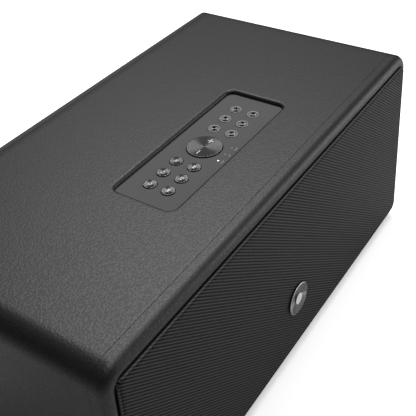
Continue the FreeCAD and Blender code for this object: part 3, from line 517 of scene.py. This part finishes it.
def twill_finish():
    """Height of a 2 over 1 twill: each yarn is round across and waves along, a third of a wave later on each
    next yarn. Warp and weft are worked out alike, and the higher of the two shows, on top of the slanting rib
    that the warp's floats make together."""
    add, calc, paint = finish("black_twill")
    yarn_roundness, yarn_swing, weft_lift = 0.7, 0.42, math.pi * 0.8
    rib_share, rib_shift, fuzz_share, unevenness = 0.82, -math.pi / 3, 0.12, 0.25
    uv = add("UVMap").outputs[0]
    parts = add("SeparateXYZ", Vector=uv).outputs
    x, y = parts["X"], parts["Y"]

    def yarns(across, along, pitch, wave, lift):
        """A rounded ridge for each yarn, times the yarn's rise and fall along its way."""
        turn = calc("DIVIDE", across, pitch)
        ridge = calc("SINE", calc("MULTIPLY", calc("FRACT", turn), math.pi))
        phase = calc("ADD", calc("DIVIDE", along, wave), calc("DIVIDE", calc("FLOOR", turn), yarn_repeat))
        rise = calc("COSINE", calc("MULTIPLY_ADD", phase, 2 * math.pi, lift))
        return calc("MULTIPLY", calc("POWER", ridge, yarn_roundness),
                    calc("MULTIPLY_ADD", rise, yarn_swing, 1 - yarn_swing))

    wave_across, wave_up = yarn_repeat * yarn_across, yarn_repeat * yarn_up
    warp = yarns(x, y, yarn_across, wave_up, 0.0)
    weft = yarns(y, x, yarn_up, wave_across, weft_lift)
    slant = calc("ADD", calc("DIVIDE", x, wave_across), calc("DIVIDE", y, wave_up))
    rib = calc("MULTIPLY_ADD", calc("COSINE", calc("MULTIPLY_ADD", slant, 2 * math.pi, rib_shift)), 0.5, 0.5)
    top_yarn = calc("MULTIPLY_ADD", rib, rib_share,
                    calc("MULTIPLY", calc("MAXIMUM", warp, weft), 1 - rib_share))
    uneven = add("TexNoise", Vector=uv, Scale=260.0, Detail=2.0).outputs["Fac"]
    fuzz = add("TexNoise", Vector=uv, Scale=7000.0, Detail=2.0).outputs["Fac"]
    relief = calc("MULTIPLY_ADD", fuzz, fuzz_share, top_yarn)
    # The colour follows the yarns' height: the weave's own pattern, with the low parts between yarns and ribs
    # painted nearly black as painted shade in the hollows, and a little random unevenness.
    shade = calc("MULTIPLY_ADD", uneven, unevenness, calc("ADD", top_yarn, -unevenness / 2))
    tone = ramp(add, shade, (0.0005, 0.0005, 0.0005), (0.066, 0.066, 0.0665), (0.26, 1.0))

    # The hem's crest is painted lighter, a painted highlight where the cord faces up to the lamps, and what
    # turns down outside it is painted dark as painted shade.
    side = calc("SUBTRACT", calc("ABSOLUTE", x), half_width - hem_start)
    upright = calc("SUBTRACT", calc("ABSOLUTE", calc("SUBTRACT", y, middle_height)),
                   (high_side - low_side) / 2 - hem_start)
    outward = calc("MAXIMUM", side, upright)
    painted_crest_light = add("MapRange", interpolation_type="SMOOTHSTEP", Value=outward, From_Min=0.0,
               From_Max=hem_fade, To_Max=hem_highlight_level).outputs[0]
    painted_hem_shade = add("MapRange", interpolation_type="SMOOTHSTEP", Value=outward, From_Min=hem_crest,
                    From_Max=hem_crest + hem_fade, To_Min=1.0, To_Max=hem_shade).outputs[0]
    painted_hem_highlight = calc("MULTIPLY", painted_crest_light, painted_hem_shade)
    return paint(Base_Color=calc("MULTIPLY_ADD", tone, painted_hem_shade, painted_hem_highlight, kind="VectorMath"),
                 Normal=add("Bump", Strength=1.0, Distance=0.0003, Height=relief).outputs[0],
                 Roughness=0.62, Specular_IOR_Level=0.12)


cloth.data.materials.append(twill_finish())
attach(cloth, "cabinet")
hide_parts("grille_cloth")


def moulded_plastic(name, colour, roughness=0.55, grain=2600.0, depth=0.00004):
    """Spark-eroded moulding texture: fine pits, a little duller in the hollows."""
    add, _, paint = finish(name)
    colour = np.array(colour)
    place = add("TexCoord").outputs["Object"]
    pits = add("TexNoise", Vector=place, Scale=grain, Detail=3.0).outputs["Fac"]
    return paint(Base_Color=ramp(add, pits, 0.8 * colour, 1.2 * colour),
                 Normal=add("Bump", Strength=0.6, Distance=depth, Height=pits).outputs[0],
                 Roughness=add("MapRange", Value=pits, To_Min=roughness + 0.08,
                               To_Max=roughness - 0.05).outputs[0])


black_plastic = moulded_plastic("black_moulding", (0.014, 0.014, 0.0145))
rubber = moulded_plastic("black_rubber", (0.012, 0.012, 0.012), roughness=0.8, grain=1500.0, depth=0.00006)
dress("grille_frame", black_plastic)
dress("grille_sockets", rubber)

# The badge: a disc of spun aluminium 29 mm across, dished round a raised plain middle, with two pins
# through the cloth into the lattice.
badge_height = 0.067
badge_radius = 0.0144
badge_proud = 0.0016
badge_flat, badge_middle, middle_edge = 0.0044, 0.0052, 0.0003
dish_width, dish_sunk, dish_rise, dish_curve = 0.0079, 0.0009, 0.0007, 2.2
rim_start, rim_inside, rim_lead, rim_edge = 0.01325, 0.0135, 0.00005, 0.0004
polish_middle, polish_depth = 0.0051, 0.0012
pin_radius, pin_length, pin_place = 0.0012, 0.0078, 0.009


def turn_profile(name, profile, place, axis, steps=72):
    """A turned piece: the profile's (radius, height) points go round the axis through place.
    The map runs round with the angle and out along the profile, as the cutting tool does."""
    profile = np.array(profile, float)
    a = np.linspace(0, 2 * np.pi, steps + 1)
    ring, run = a[:-1, None], profile[None, :, 0]
    if axis == "z":
        points = np.stack([run * np.cos(ring), run * np.sin(ring),
                           np.broadcast_to(profile[None, :, 1], (steps, len(profile)))], -1)
    else:
        points = np.stack([run * np.cos(ring), np.broadcast_to(-profile[None, :, 1], (steps, len(profile))),
                           run * np.sin(ring)], -1)
    length = np.concatenate([[0], np.cumsum(np.linalg.norm(np.diff(profile, axis=0), axis=1))])
    surface_map = np.stack(np.meshgrid(a * 0.01, length, indexing="ij"), -1)
    return lay_grid(name, points + np.array(place), surface_map, turned=True)


def spun_metal(name, colour, roughness, spin=0.85, gloss=0.5, metal=0.0):
    """Turned aluminium, dyed dark: fine rings from the tool draw its gloss out across them, and the dye
    below takes most of the light. The rings follow the map's second direction, from the middle out."""
    add, calc, paint = finish(name)
    colour, narrowed = np.array(colour), 0.02
    parts = add("SeparateXYZ", Vector=add("UVMap").outputs[0]).outputs
    drawn_out = add("CombineXYZ", X=calc("MULTIPLY", parts["X"], narrowed), Y=parts["Y"]).outputs[0]
    rings = add("TexNoise", Vector=drawn_out, Scale=2600.0, Detail=2.0).outputs["Fac"]
    return paint(Base_Color=ramp(add, rings, 0.85 * colour, 1.15 * colour),
                 Tangent=add("Tangent", direction_type="UV_MAP", uv_map="UVMap").outputs[0],
                 Metallic=metal, Specular_IOR_Level=gloss, Roughness=roughness, Anisotropic=spin)


def rounded_step(r, top, bottom, radius):
    """The edge of a disc: a quarter circle of the radius from its top, then its straight side."""
    a = np.radians(np.linspace(90, 0, 6))
    return [(r - radius + radius * math.cos(t), top - radius + radius * math.sin(t))
            for t in a] + [(r, bottom)]


def face_centres(piece):
    """The middles of a piece's faces."""
    centres = np.zeros(len(piece.data.polygons) * 3)
    piece.data.polygons.foreach_get("center", centres)
    return centres.reshape(-1, 3)


badge_face = [(0.0, badge_proud), (badge_flat, badge_proud)] \
    + rounded_step(badge_middle, badge_proud, badge_proud - dish_sunk, middle_edge) \
    + [(badge_middle + dish_width * t, badge_proud - dish_sunk + dish_rise * t ** dish_curve)
       for t in np.linspace(0.04, 1, 18)] \
    + [(rim_start, badge_proud - rim_lead), (rim_inside, badge_proud)] \
    + rounded_step(badge_radius, badge_proud, 0.0, rim_edge)[1:] + [(0.0, 0.0)]
badge = turn_profile("badge_disc_face", badge_face, (0, grille_face, badge_height), "y", steps=96)
badge.data.materials.append(spun_metal("badge_aluminium", (0.20, 0.20, 0.203), 0.40, spin=1.0, metal=1.0))
badge.data.materials.append(spun_metal("badge_middle", (0.90, 0.90, 0.91), 0.35, spin=0.2, metal=0.6))
centres = face_centres(badge) - (0.0, grille_face, badge_height)
from_axis = np.hypot(centres[:, 0], centres[:, 2])
polished = ((from_axis < polish_middle) | (from_axis > badge_radius - rim_edge)) \
    & (centres[:, 1] < -polish_depth)
badge.data.polygons.foreach_set("material_index", polished.astype(np.int32))

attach(badge, "cabinet")
for side in (-1, 1):
    pin = turn_profile("badge_pin",
                       [(0.0, 0.0), (pin_radius, 0.0), (pin_radius, -pin_length), (0.0, -pin_length)],
                       (side * pin_place, grille_face, badge_height), "y", steps=20)
    pin.data.materials.append(badge.data.materials[0])
    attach(pin, "cabinet")
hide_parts("badge_disc")

# The drivers behind the grille: a woofer with a cast basket, a plated yoke and a pressed pulp cone, and two
# soft-dome tweeters. Each is screwed to the front board from the front.


def plain_finish(name, colour, roughness, metal=0.0, scale=700.0, contrast=0.12, depth=0.00003,
                 stretch=(1, 1, 1)):
    """A finish with a slight mottle and relief at the given scale, drawn out where stretch isn't even."""
    add, _, paint = finish(name)
    colour = np.array(colour)
    place = add("Mapping", Vector=add("TexCoord").outputs["Object"], Scale=stretch).outputs[0]
    mottle = add("TexNoise", Vector=place, Scale=scale, Detail=4.0).outputs["Fac"]
    return paint(Base_Color=ramp(add, mottle, (1 - contrast) * colour, (1 + contrast) * colour, (0.3, 0.7)),
                 Normal=add("Bump", Strength=0.5, Distance=depth, Height=mottle).outputs[0],
                 Metallic=metal, Roughness=roughness)


plated_steel = plain_finish("zinc_plated_steel", (0.56, 0.56, 0.57), 0.35, metal=1.0)
ferrite = plain_finish("pressed_ferrite", (0.045, 0.045, 0.05), 0.7, scale=1800.0, contrast=0.3)
dress("woofer_basket", plain_finish("cast_basket", (0.03, 0.03, 0.032), 0.55, scale=900.0, depth=0.00008))
dress("woofer_top_plate", plated_steel)
dress("woofer_yoke", plated_steel)
dress("woofer_magnet", ferrite)
dress("woofer_cone", plain_finish("pulp_cone", (0.018, 0.018, 0.018), 0.9,
                                  scale=1400.0, contrast=0.35, depth=0.0001))
dress("woofer_dust_cap", plain_finish("pulp_cap", (0.02, 0.02, 0.02), 0.8, scale=1400.0, contrast=0.3))
dress("woofer_voice_coil", plain_finish("enamelled_copper", (0.62, 0.26, 0.12), 0.3, metal=1.0,
                                        scale=2000.0, stretch=(0.05, 1, 0.05)))


# What centres the cone: a rubber half-roll round its edge and a pressed, resin-dipped cotton spider round
# its neck. Both are glued to the basket outside and to the cone inside and bend between them. Each is laid
# in wedges round the axis.
def half_wave(inner, outer, edge, height, count=9):
    """Half a wave from the inner to the outer radius: the depth is the edge's, less height times the sine
    of the share of half a turn."""
    share = np.linspace(0.0, 1.0, count)
    return np.stack([inner + (outer - inner) * share, edge - height * np.sin(np.pi * share)], -1)


def bending_ring(name, node, front_line, sheet, still, moving, material, wedges=16, steps=4):
    """A pressed ring about the woofer's axis: the line's (radius, depth) points are its front, and the same
    points set back by the sheet are its back. Each wedge is that closed section carried round its share of
    the turn and capped at both ends. The still and moving radii are not used."""
    lowest, highest = (np.array(corner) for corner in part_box(node))
    axis = (lowest + highest) / 2
    front = highest[1] - (front_line[:, 1].max() + sheet)
    section = np.concatenate([front_line, front_line[::-1] + [0.0, sheet], front_line[:1]])
    for i in range(wedges):
        turn = 2 * np.pi / wedges * (i + np.linspace(-0.5, 0.5, steps + 1))[:, None]
        points = np.stack([axis[0] + section[None, :, 0] * np.cos(turn),
                           front + np.broadcast_to(section[None, :, 1], (steps + 1, len(section))),
                           axis[2] + section[None, :, 0] * np.sin(turn)], -1)
        piece = lay_grid("%s_%02d" % (name, i + 1), points, closed=False)
        work = bmesh.new()
        work.from_mesh(piece.data)
        bmesh.ops.holes_fill(work, edges=[edge for edge in work.edges if edge.is_boundary])
        bmesh.ops.triangulate(work, faces=[face for face in work.faces if len(face.verts) > 4])
        bmesh.ops.recalc_face_normals(work, faces=work.faces)
        work.to_mesh(piece.data)
        work.free()
        piece.data.materials.append(material)
        split = piece.modifiers.new("edges", "EDGE_SPLIT")
        split.split_angle = math.radians(sharp_angle)
        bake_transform(piece)
        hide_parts(node)


roll_lip, roll_in, roll_out, roll_glued = 0.0450, 0.0465, 0.0545, 0.0568
roll_front, roll_height, roll_sheet, roll_held = 0.0012, 0.0040, 0.0008, 0.0005
roll_line = np.concatenate([[(roll_lip, roll_front)],
                            half_wave(roll_in, roll_out, roll_front, roll_height, 17),
                            [(roll_glued, roll_front)]])
bending_ring("woofer_roll", "woofer_surround", roll_line,
             roll_sheet, roll_out - roll_held, roll_in, rubber)
spider_neck, spider_foot, spider_rim = 0.0138, 0.0320, 0.0380
spider_front, spider_height, spider_sheet, spider_waves = 0.0264, 0.0012, 0.0006, 6
wave_ends = np.linspace(spider_neck, spider_foot, spider_waves + 1)
spider_line = [half_wave(wave_ends[i], wave_ends[i + 1], spider_front, spider_height * (-1) ** i)[:-1]
               for i in range(spider_waves)]
bending_ring("woofer_spider", "woofer_spider",
             np.concatenate(spider_line + [[(spider_foot, spider_front), (spider_rim, spider_front)]]),
             spider_sheet, spider_foot, spider_neck,
             plain_finish("dipped_cotton", (0.5, 0.34, 0.14), 0.9, scale=2400.0, contrast=0.3, depth=0.0001))

tweeter_silk = plain_finish("coated_silk", (0.02, 0.02, 0.022), 0.5, scale=2600.0, contrast=0.25)
for side in ("left", "right"):
    dress("tweeter_plate_" + side, black_plastic)
    dress("tweeter_motor_" + side, ferrite)
    dress("tweeter_dome_" + side, tweeter_silk)

# The control panel: a dark anodised plate, bead-blasted and punched for the keys, let down into the pocket
# to just below the leather.
plate_top = 0.1913


def blasted_plate():
    """Even dark metal with the fine sparkle of bead blasting."""
    add, _, paint = finish("blasted_plate")
    place = add("TexCoord").outputs["Object"]
    beads = add("TexNoise", Vector=place, Scale=5200.0, Detail=2.0).outputs["Fac"]
    return paint(Base_Color=ramp(add, beads, (0.076, 0.076, 0.077), (0.094, 0.094, 0.095), (0.3, 0.7)),
                 Normal=add("Bump", Strength=0.35, Distance=0.00002, Height=beads).outputs[0],
                 Roughness=0.75, Specular_IOR_Level=0.25)


dress("control_plate", blasted_plate(), angle=25.0)

# The keys: turned aluminium caps with a flange below the plate and a stem to the switch. The left ones are
# slightly hollow and carry a printed mark; the right ones have a dark dish in a light ring.
key_radius = 0.0056
key_edge, ring_edge = 0.0005, 0.0004
key_crown = plate_top + 0.0009
preset_crown = plate_top + 0.0004
plate_sheet, flange_gap, flange_sheet = 0.0015, 0.00005, 0.0008
key_flange_top = plate_top - plate_sheet - flange_gap
key_flange_under = key_flange_top - flange_sheet
flange_radius, stem_radius = 0.0067, 0.0015
key_stem_end = 0.1860
row_middle = -0.0305
row_half = 0.0086
column_places = (0.0272, 0.0444, 0.0616)

key_body = [(key_radius, key_flange_top), (flange_radius, key_flange_top),
            (flange_radius, key_flange_under), (stem_radius, key_flange_under),
            (stem_radius, key_stem_end), (0.0, key_stem_end)]


def bowl(reach, depth, top, count=14):
    """A shallow hollow from the middle to its rim: the depth falls off with the square of the way out."""
    t = np.linspace(0, 1, count)
    return [(reach * v, top - depth * (1 - v * v)) for v in t]


hollow_reach, key_hollow = key_radius - key_edge, 0.00012
dish_reach, dish_hollow, dish_step, dish_wall, dish_bevel = 0.0037, 0.0001, 0.0005, 0.00005, 0.0001
hollow_key = bowl(hollow_reach, key_hollow, key_crown) \
    + rounded_step(key_radius, key_crown, key_flange_top, key_edge)[1:] + key_body[1:]
ring_key = bowl(dish_reach, dish_hollow, preset_crown - dish_step) \
    + [(dish_reach + dish_wall, preset_crown - dish_bevel),
       (dish_reach + dish_wall + dish_bevel, preset_crown)] \
    + rounded_step(key_radius, preset_crown, key_flange_top, ring_edge) + key_body[1:]
key_metal = spun_metal("key_aluminium", (0.034, 0.034, 0.035), 0.27, spin=0.92, gloss=0.6)
ring_metal = spun_metal("ring_aluminium", (0.15, 0.15, 0.152), 0.4, spin=0.3, gloss=0.5)
dish_metal = spun_metal("dish_aluminium", (0.10, 0.10, 0.101), 0.25, spin=1.0, metal=1.0)

white_print, grey_print = (
    plain_finish(name, (tone, tone, tone), 0.5, scale=4000.0, contrast=0.04, depth=0.000005)
    for name, tone in (("white_print", 0.70), ("grey_print", 0.30)))
print_lift = 0.00003
dish_margin, cap_depth = 0.00004, 0.001
number_size = 0.0024


def printed(name, shapes, middle, surface, body, ink=white_print):
    """Flat printed shapes, each a list of (x, y) corners round its middle, laid on the surface's height."""
    x, y = np.concatenate([np.array(shape, float) for shape in shapes]).T
    height = np.broadcast_to(surface(x, y) + print_lift, x.shape)
    ends = np.cumsum([len(shape) for shape in shapes])
    mesh = bpy.data.meshes.new(name)
    mesh.from_pydata(np.column_stack([middle[0] + x, middle[1] + y, height]).tolist(), [],
                     [list(range(end - len(shape), end)) for shape, end in zip(shapes, ends)])
    mark = put_up(name, mesh)
    mark.data.materials.append(ink)
    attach(mark, body)


def bar(x0, x1, y0, y1):
    """A rectangle between two widths and two heights."""
    return [(x0, y0), (x1, y0), (x1, y1), (x0, y1)]


def band(radius, width, start, end, steps=18, shift=(0.0, 0.0)):
    """Short pieces of a ring between two angles in degrees."""
    a = np.radians(np.linspace(start, end, steps + 1))
    inner, outer = radius - width / 2, radius + width / 2
    return [[(shift[0] + inner * math.cos(p), shift[1] + inner * math.sin(p)),
             (shift[0] + outer * math.cos(p), shift[1] + outer * math.sin(p)),
             (shift[0] + outer * math.cos(q), shift[1] + outer * math.sin(q)),
             (shift[0] + inner * math.cos(q), shift[1] + inner * math.sin(q))]
            for p, q in zip(a, a[1:])]


def wedge(x, direction, size=0.0015):
    """A triangle whose point looks left or right."""
    tip = (x + direction * size, 0.0)
    return [tip, (x, direction * size), (x, -direction * size)]


marks = {
    "key_power": band(0.0014, 0.00045, 125, 415) + [bar(-0.00022, 0.00022, 0.0004, 0.0021)],
    "key_source": [bar(-0.0019, 0.0003, -0.0014, -0.0010), bar(-0.0019, 0.0003, 0.0010, 0.0014),
                   bar(-0.0019, -0.0015, -0.0014, 0.0014), bar(-0.0007, 0.0013, -0.0002, 0.0002),
                   wedge(0.0011, 1, 0.0010)],
    "key_pair": band(0.0009, 0.0004, 0, 360, shift=(-0.0006, 0.0))
    + band(0.0009, 0.0004, 0, 360, shift=(0.0007, 0.0)),
    "key_skip_back": [wedge(0.0004, -1), wedge(0.0019, -1), bar(-0.0017, -0.0012, -0.0014, 0.0014)],
    "key_play_pause": [wedge(-0.0018, 1), bar(0.0002, 0.0007, -0.0014, 0.0014),
                       bar(0.0012, 0.0017, -0.0014, 0.0014)],
    "key_skip_forward": [wedge(-0.0019, 1), wedge(-0.0004, 1), bar(0.0012, 0.0017, -0.0014, 0.0014)],
}
left_keys = {"key_pair": (0, 1), "key_source": (1, 1), "key_power": (2, 1),
             "key_skip_forward": (0, -1), "key_play_pause": (1, -1), "key_skip_back": (2, -1)}
for node, (column, row) in left_keys.items():
    middle = (-column_places[column], row_middle + row * row_half)
    cap = turn_profile(node + "_cap", hollow_key, (middle[0], middle[1], 0.0), "z")
    cap.data.materials.append(key_metal)
    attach(cap, node)
    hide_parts(node)
    printed(node + "_mark", marks[node], middle,
            lambda x, y: key_crown - key_hollow * (1 - (x * x + y * y) / hollow_reach ** 2), node)

right_keys = {f"key_preset_{1 + column + (3 if row < 0 else 0)}": (column, row)
              for row in (1, -1) for column in range(3)}
for node, (column, row) in right_keys.items():
    middle = (column_places[column], row_middle + row * row_half)
    cap = turn_profile(node + "_cap", ring_key, (middle[0], middle[1], 0.0), "z")
    cap.data.materials.append(ring_metal)
    cap.data.materials.append(dish_metal)
    centres = face_centres(cap)
    in_dish = (np.hypot(*(centres[:, :2] - middle).T) < dish_reach + dish_margin) \
        & (centres[:, 2] > preset_crown - cap_depth)
    cap.data.polygons.foreach_set("material_index", in_dish.astype(np.int32))
    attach(cap, node)
    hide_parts(node)
    words = bpy.data.curves.new(node + "_number", "FONT")
    words.body = node[-1]
    words.size = number_size
    words.align_x, words.align_y = "CENTER", "CENTER"
    letter = put_up(node + "_number", words)
    bpy.context.view_layer.update()
    drawn = bpy.data.meshes.new_from_object(letter)
    bpy.data.objects.remove(letter)
    places = np.zeros(len(drawn.vertices) * 3)
    drawn.vertices.foreach_get("co", places)
    places = places.reshape(-1, 3)
    flat = (places[:, 0] ** 2 + places[:, 1] ** 2) / dish_reach ** 2
    places[:, 2] = preset_crown - dish_step - dish_hollow * (1 - flat) + print_lift
    places[:, :2] += middle
    drawn.vertices.foreach_set("co", places.ravel())
    drawn.materials.clear()
    drawn.materials.append(white_print)
    number = put_up(node + "_number", drawn)
    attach(number, node)

# The volume rocker: a turned disc 30 mm across with a moulded hub and two posts below it. It tilts to its
# minus or plus side on a pin through the hub, and a post presses that side's switch.
rocker_radius = 0.0150
rocker_top = plate_top + 0.0012
rocker_under = rocker_top - 0.0026
rocker_edge = 0.0005
rocker_hollow = 0.00035
post_radius, post_place = 0.0015, 0.0105
hub_width, hub_depth, hub_foot, hub_bevel = 0.0064, 0.0050, 0.18392, 0.0004
stroke, sign_outer, minus_inner = 0.00035, 0.0117, 0.0062
plus_inner, plus_middle, plus_half = 0.0063, 0.0090, 0.0027
disc_profile = bowl(rocker_radius - rocker_edge, rocker_hollow, rocker_top, 20) \
    + rounded_step(rocker_radius, rocker_top, rocker_under, rocker_edge)[1:] + [(0.0, rocker_under)]
disc = turn_profile("volume_disc", disc_profile, (0.0, row_middle, 0.0), "z", steps=128)
disc.data.materials.append(spun_metal("disc_aluminium", (0.045, 0.045, 0.046), 0.28, spin=0.9, gloss=0.45))
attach(disc, "volume_rocker")
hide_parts("volume_rocker")
for side in (-1, 1):
    post = turn_profile("rocker_post",
                        [(0.0, rocker_under), (post_radius, rocker_under), (post_radius, key_stem_end),
                         (0.0, key_stem_end)], (side * post_place, row_middle, 0.0), "z", steps=24)
    post.data.materials.append(black_plastic)
    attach(post, "volume_rocker")
hub_mesh = bpy.data.meshes.new("rocker_hub")
hub = bmesh.new()
bmesh.ops.create_cube(hub, size=1.0)
bmesh.ops.scale(hub, vec=(hub_width, hub_depth, rocker_under - hub_foot), verts=hub.verts)
bmesh.ops.translate(hub, vec=(0.0, row_middle, (rocker_under + hub_foot) / 2), verts=hub.verts)
bmesh.ops.bevel(hub, geom=hub.edges[:], offset=hub_bevel, segments=2, affect="EDGES")
hub.to_mesh(hub_mesh)
hub.free()
hub_block = put_up("rocker_hub", hub_mesh)
hub_block.data.materials.append(black_plastic)
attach(hub_block, "volume_rocker")


def on_disc(x, y):
    """The disc's hollow face: its depth falls off with the square of the way out."""
    return rocker_top - rocker_hollow * (1 - (x * x + y * y) / (rocker_radius - rocker_edge) ** 2)


printed("minus_mark", [bar(-sign_outer, -minus_inner, -stroke, stroke)], (0.0, row_middle), on_disc,
        "volume_rocker")
printed("plus_mark", [bar(plus_inner, sign_outer, -stroke, stroke)]
        + [bar(plus_middle - stroke, plus_middle + stroke, *span)
           for span in ((stroke, plus_half), (-plus_half, -stroke))],
        (0.0, row_middle), on_disc, "volume_rocker")

# The three indicator lights: clear acrylic rods pressed into the plate and flush with it, the left one lit,
# each with a row of printed ticks before it.
light_row = row_middle - 0.0198
light_pitch = 0.0101
lit_end, lit_strength = -0.005, 1.5
tick_pitch, tick_half_width, tick_half_height, ticks_before = 0.00088, 0.00022, 0.0006, 0.0040


def light_finish():
    """Clear rods; the one on the left glows white."""
    add, calc, paint = finish("light_rods")
    place = add("TexCoord").outputs["Object"]
    lit = calc("LESS_THAN", add("SeparateXYZ", Vector=place).outputs["X"], lit_end)
    haze = add("TexNoise", Vector=place, Scale=1500.0, Detail=2.0).outputs["Fac"]
    return paint(Base_Color=ramp(add, haze, (0.20, 0.20, 0.205), (0.30, 0.30, 0.31)), Roughness=0.25,
                 Emission_Color=(1.0, 1.0, 1.0, 1), Emission_Strength=calc("MULTIPLY", lit, lit_strength))


dress("light_pipes", light_finish())
for number, ticks in ((-1, 5), (0, 3), (1, 5)):
    middles = [tick_pitch * (i - (ticks - 1) / 2) for i in range(ticks)]
    shapes = [bar(x - tick_half_width, x + tick_half_width, -tick_half_height, tick_half_height)
              for x in middles]
    printed("light_ticks", shapes, (number * light_pitch, light_row - ticks_before), lambda x, y: plate_top,
            "cabinet", ink=grey_print)

# Under the plate: the control board with its push switches and the rocker's plated steel bracket. The
# screws here and in the cabinet are steel with a black zinc coat.
board_green = plain_finish("solder_mask", (0.016, 0.085, 0.04), 0.35, scale=500.0, contrast=0.2)
black_screw = plain_finish("black_zinc", (0.06, 0.06, 0.062), 0.38, metal=1.0, scale=1500.0)
dress("control_board", board_green)
dress("push_switches", black_plastic)
dress("rocker_bracket", plated_steel)
dress("control_screws", black_screw)
dress("wood_screws", black_screw)

# The back: a moulded connection plate screwed over the rear board's opening with its sockets, the port's
# flared mouth glued into the board, and the flush reset key.
dress("connection_plate", moulded_plastic("rear_moulding", (0.017, 0.017, 0.0175), roughness=0.6,
                                           grain=1800.0, depth=0.00006))
for node in ("reflex_port", "aux_jack", "network_socket", "power_inlet"):
    dress(node, black_plastic)
dress("key_reset", moulded_plastic("reset_moulding", (0.05, 0.05, 0.052), roughness=0.45))

# Inside: two circuit boards on plated pillars with their main parts, and polyester wadding on the cabinet's
# floor.
dress("amplifier_board", board_green)
dress("power_board", board_green)
dress("board_pillars", plated_steel)
dress("heat_sink", plain_finish("heat_sink_aluminium", (0.30, 0.30, 0.31), 0.45, metal=1.0,
                                stretch=(1, 1, 0.05)))
dress("smoothing_capacitors", plain_finish("capacitor_sleeve", (0.02, 0.025, 0.07), 0.3))
dress("transformer", plain_finish("transformer_tape", (0.55, 0.38, 0.05), 0.35, scale=300.0))
dress("wireless_module", plain_finish("tinned_shield", (0.6, 0.6, 0.6), 0.3, metal=1.0))
dress("damping_mat", plain_finish("wadding", (0.45, 0.45, 0.43), 0.95,
                                  scale=380.0, contrast=0.3, depth=0.0008))

# The feet: four discs of moulded rubber, each held by a screw up through its middle into the cabinet's
# floor.
dress("rubber_feet", rubber)
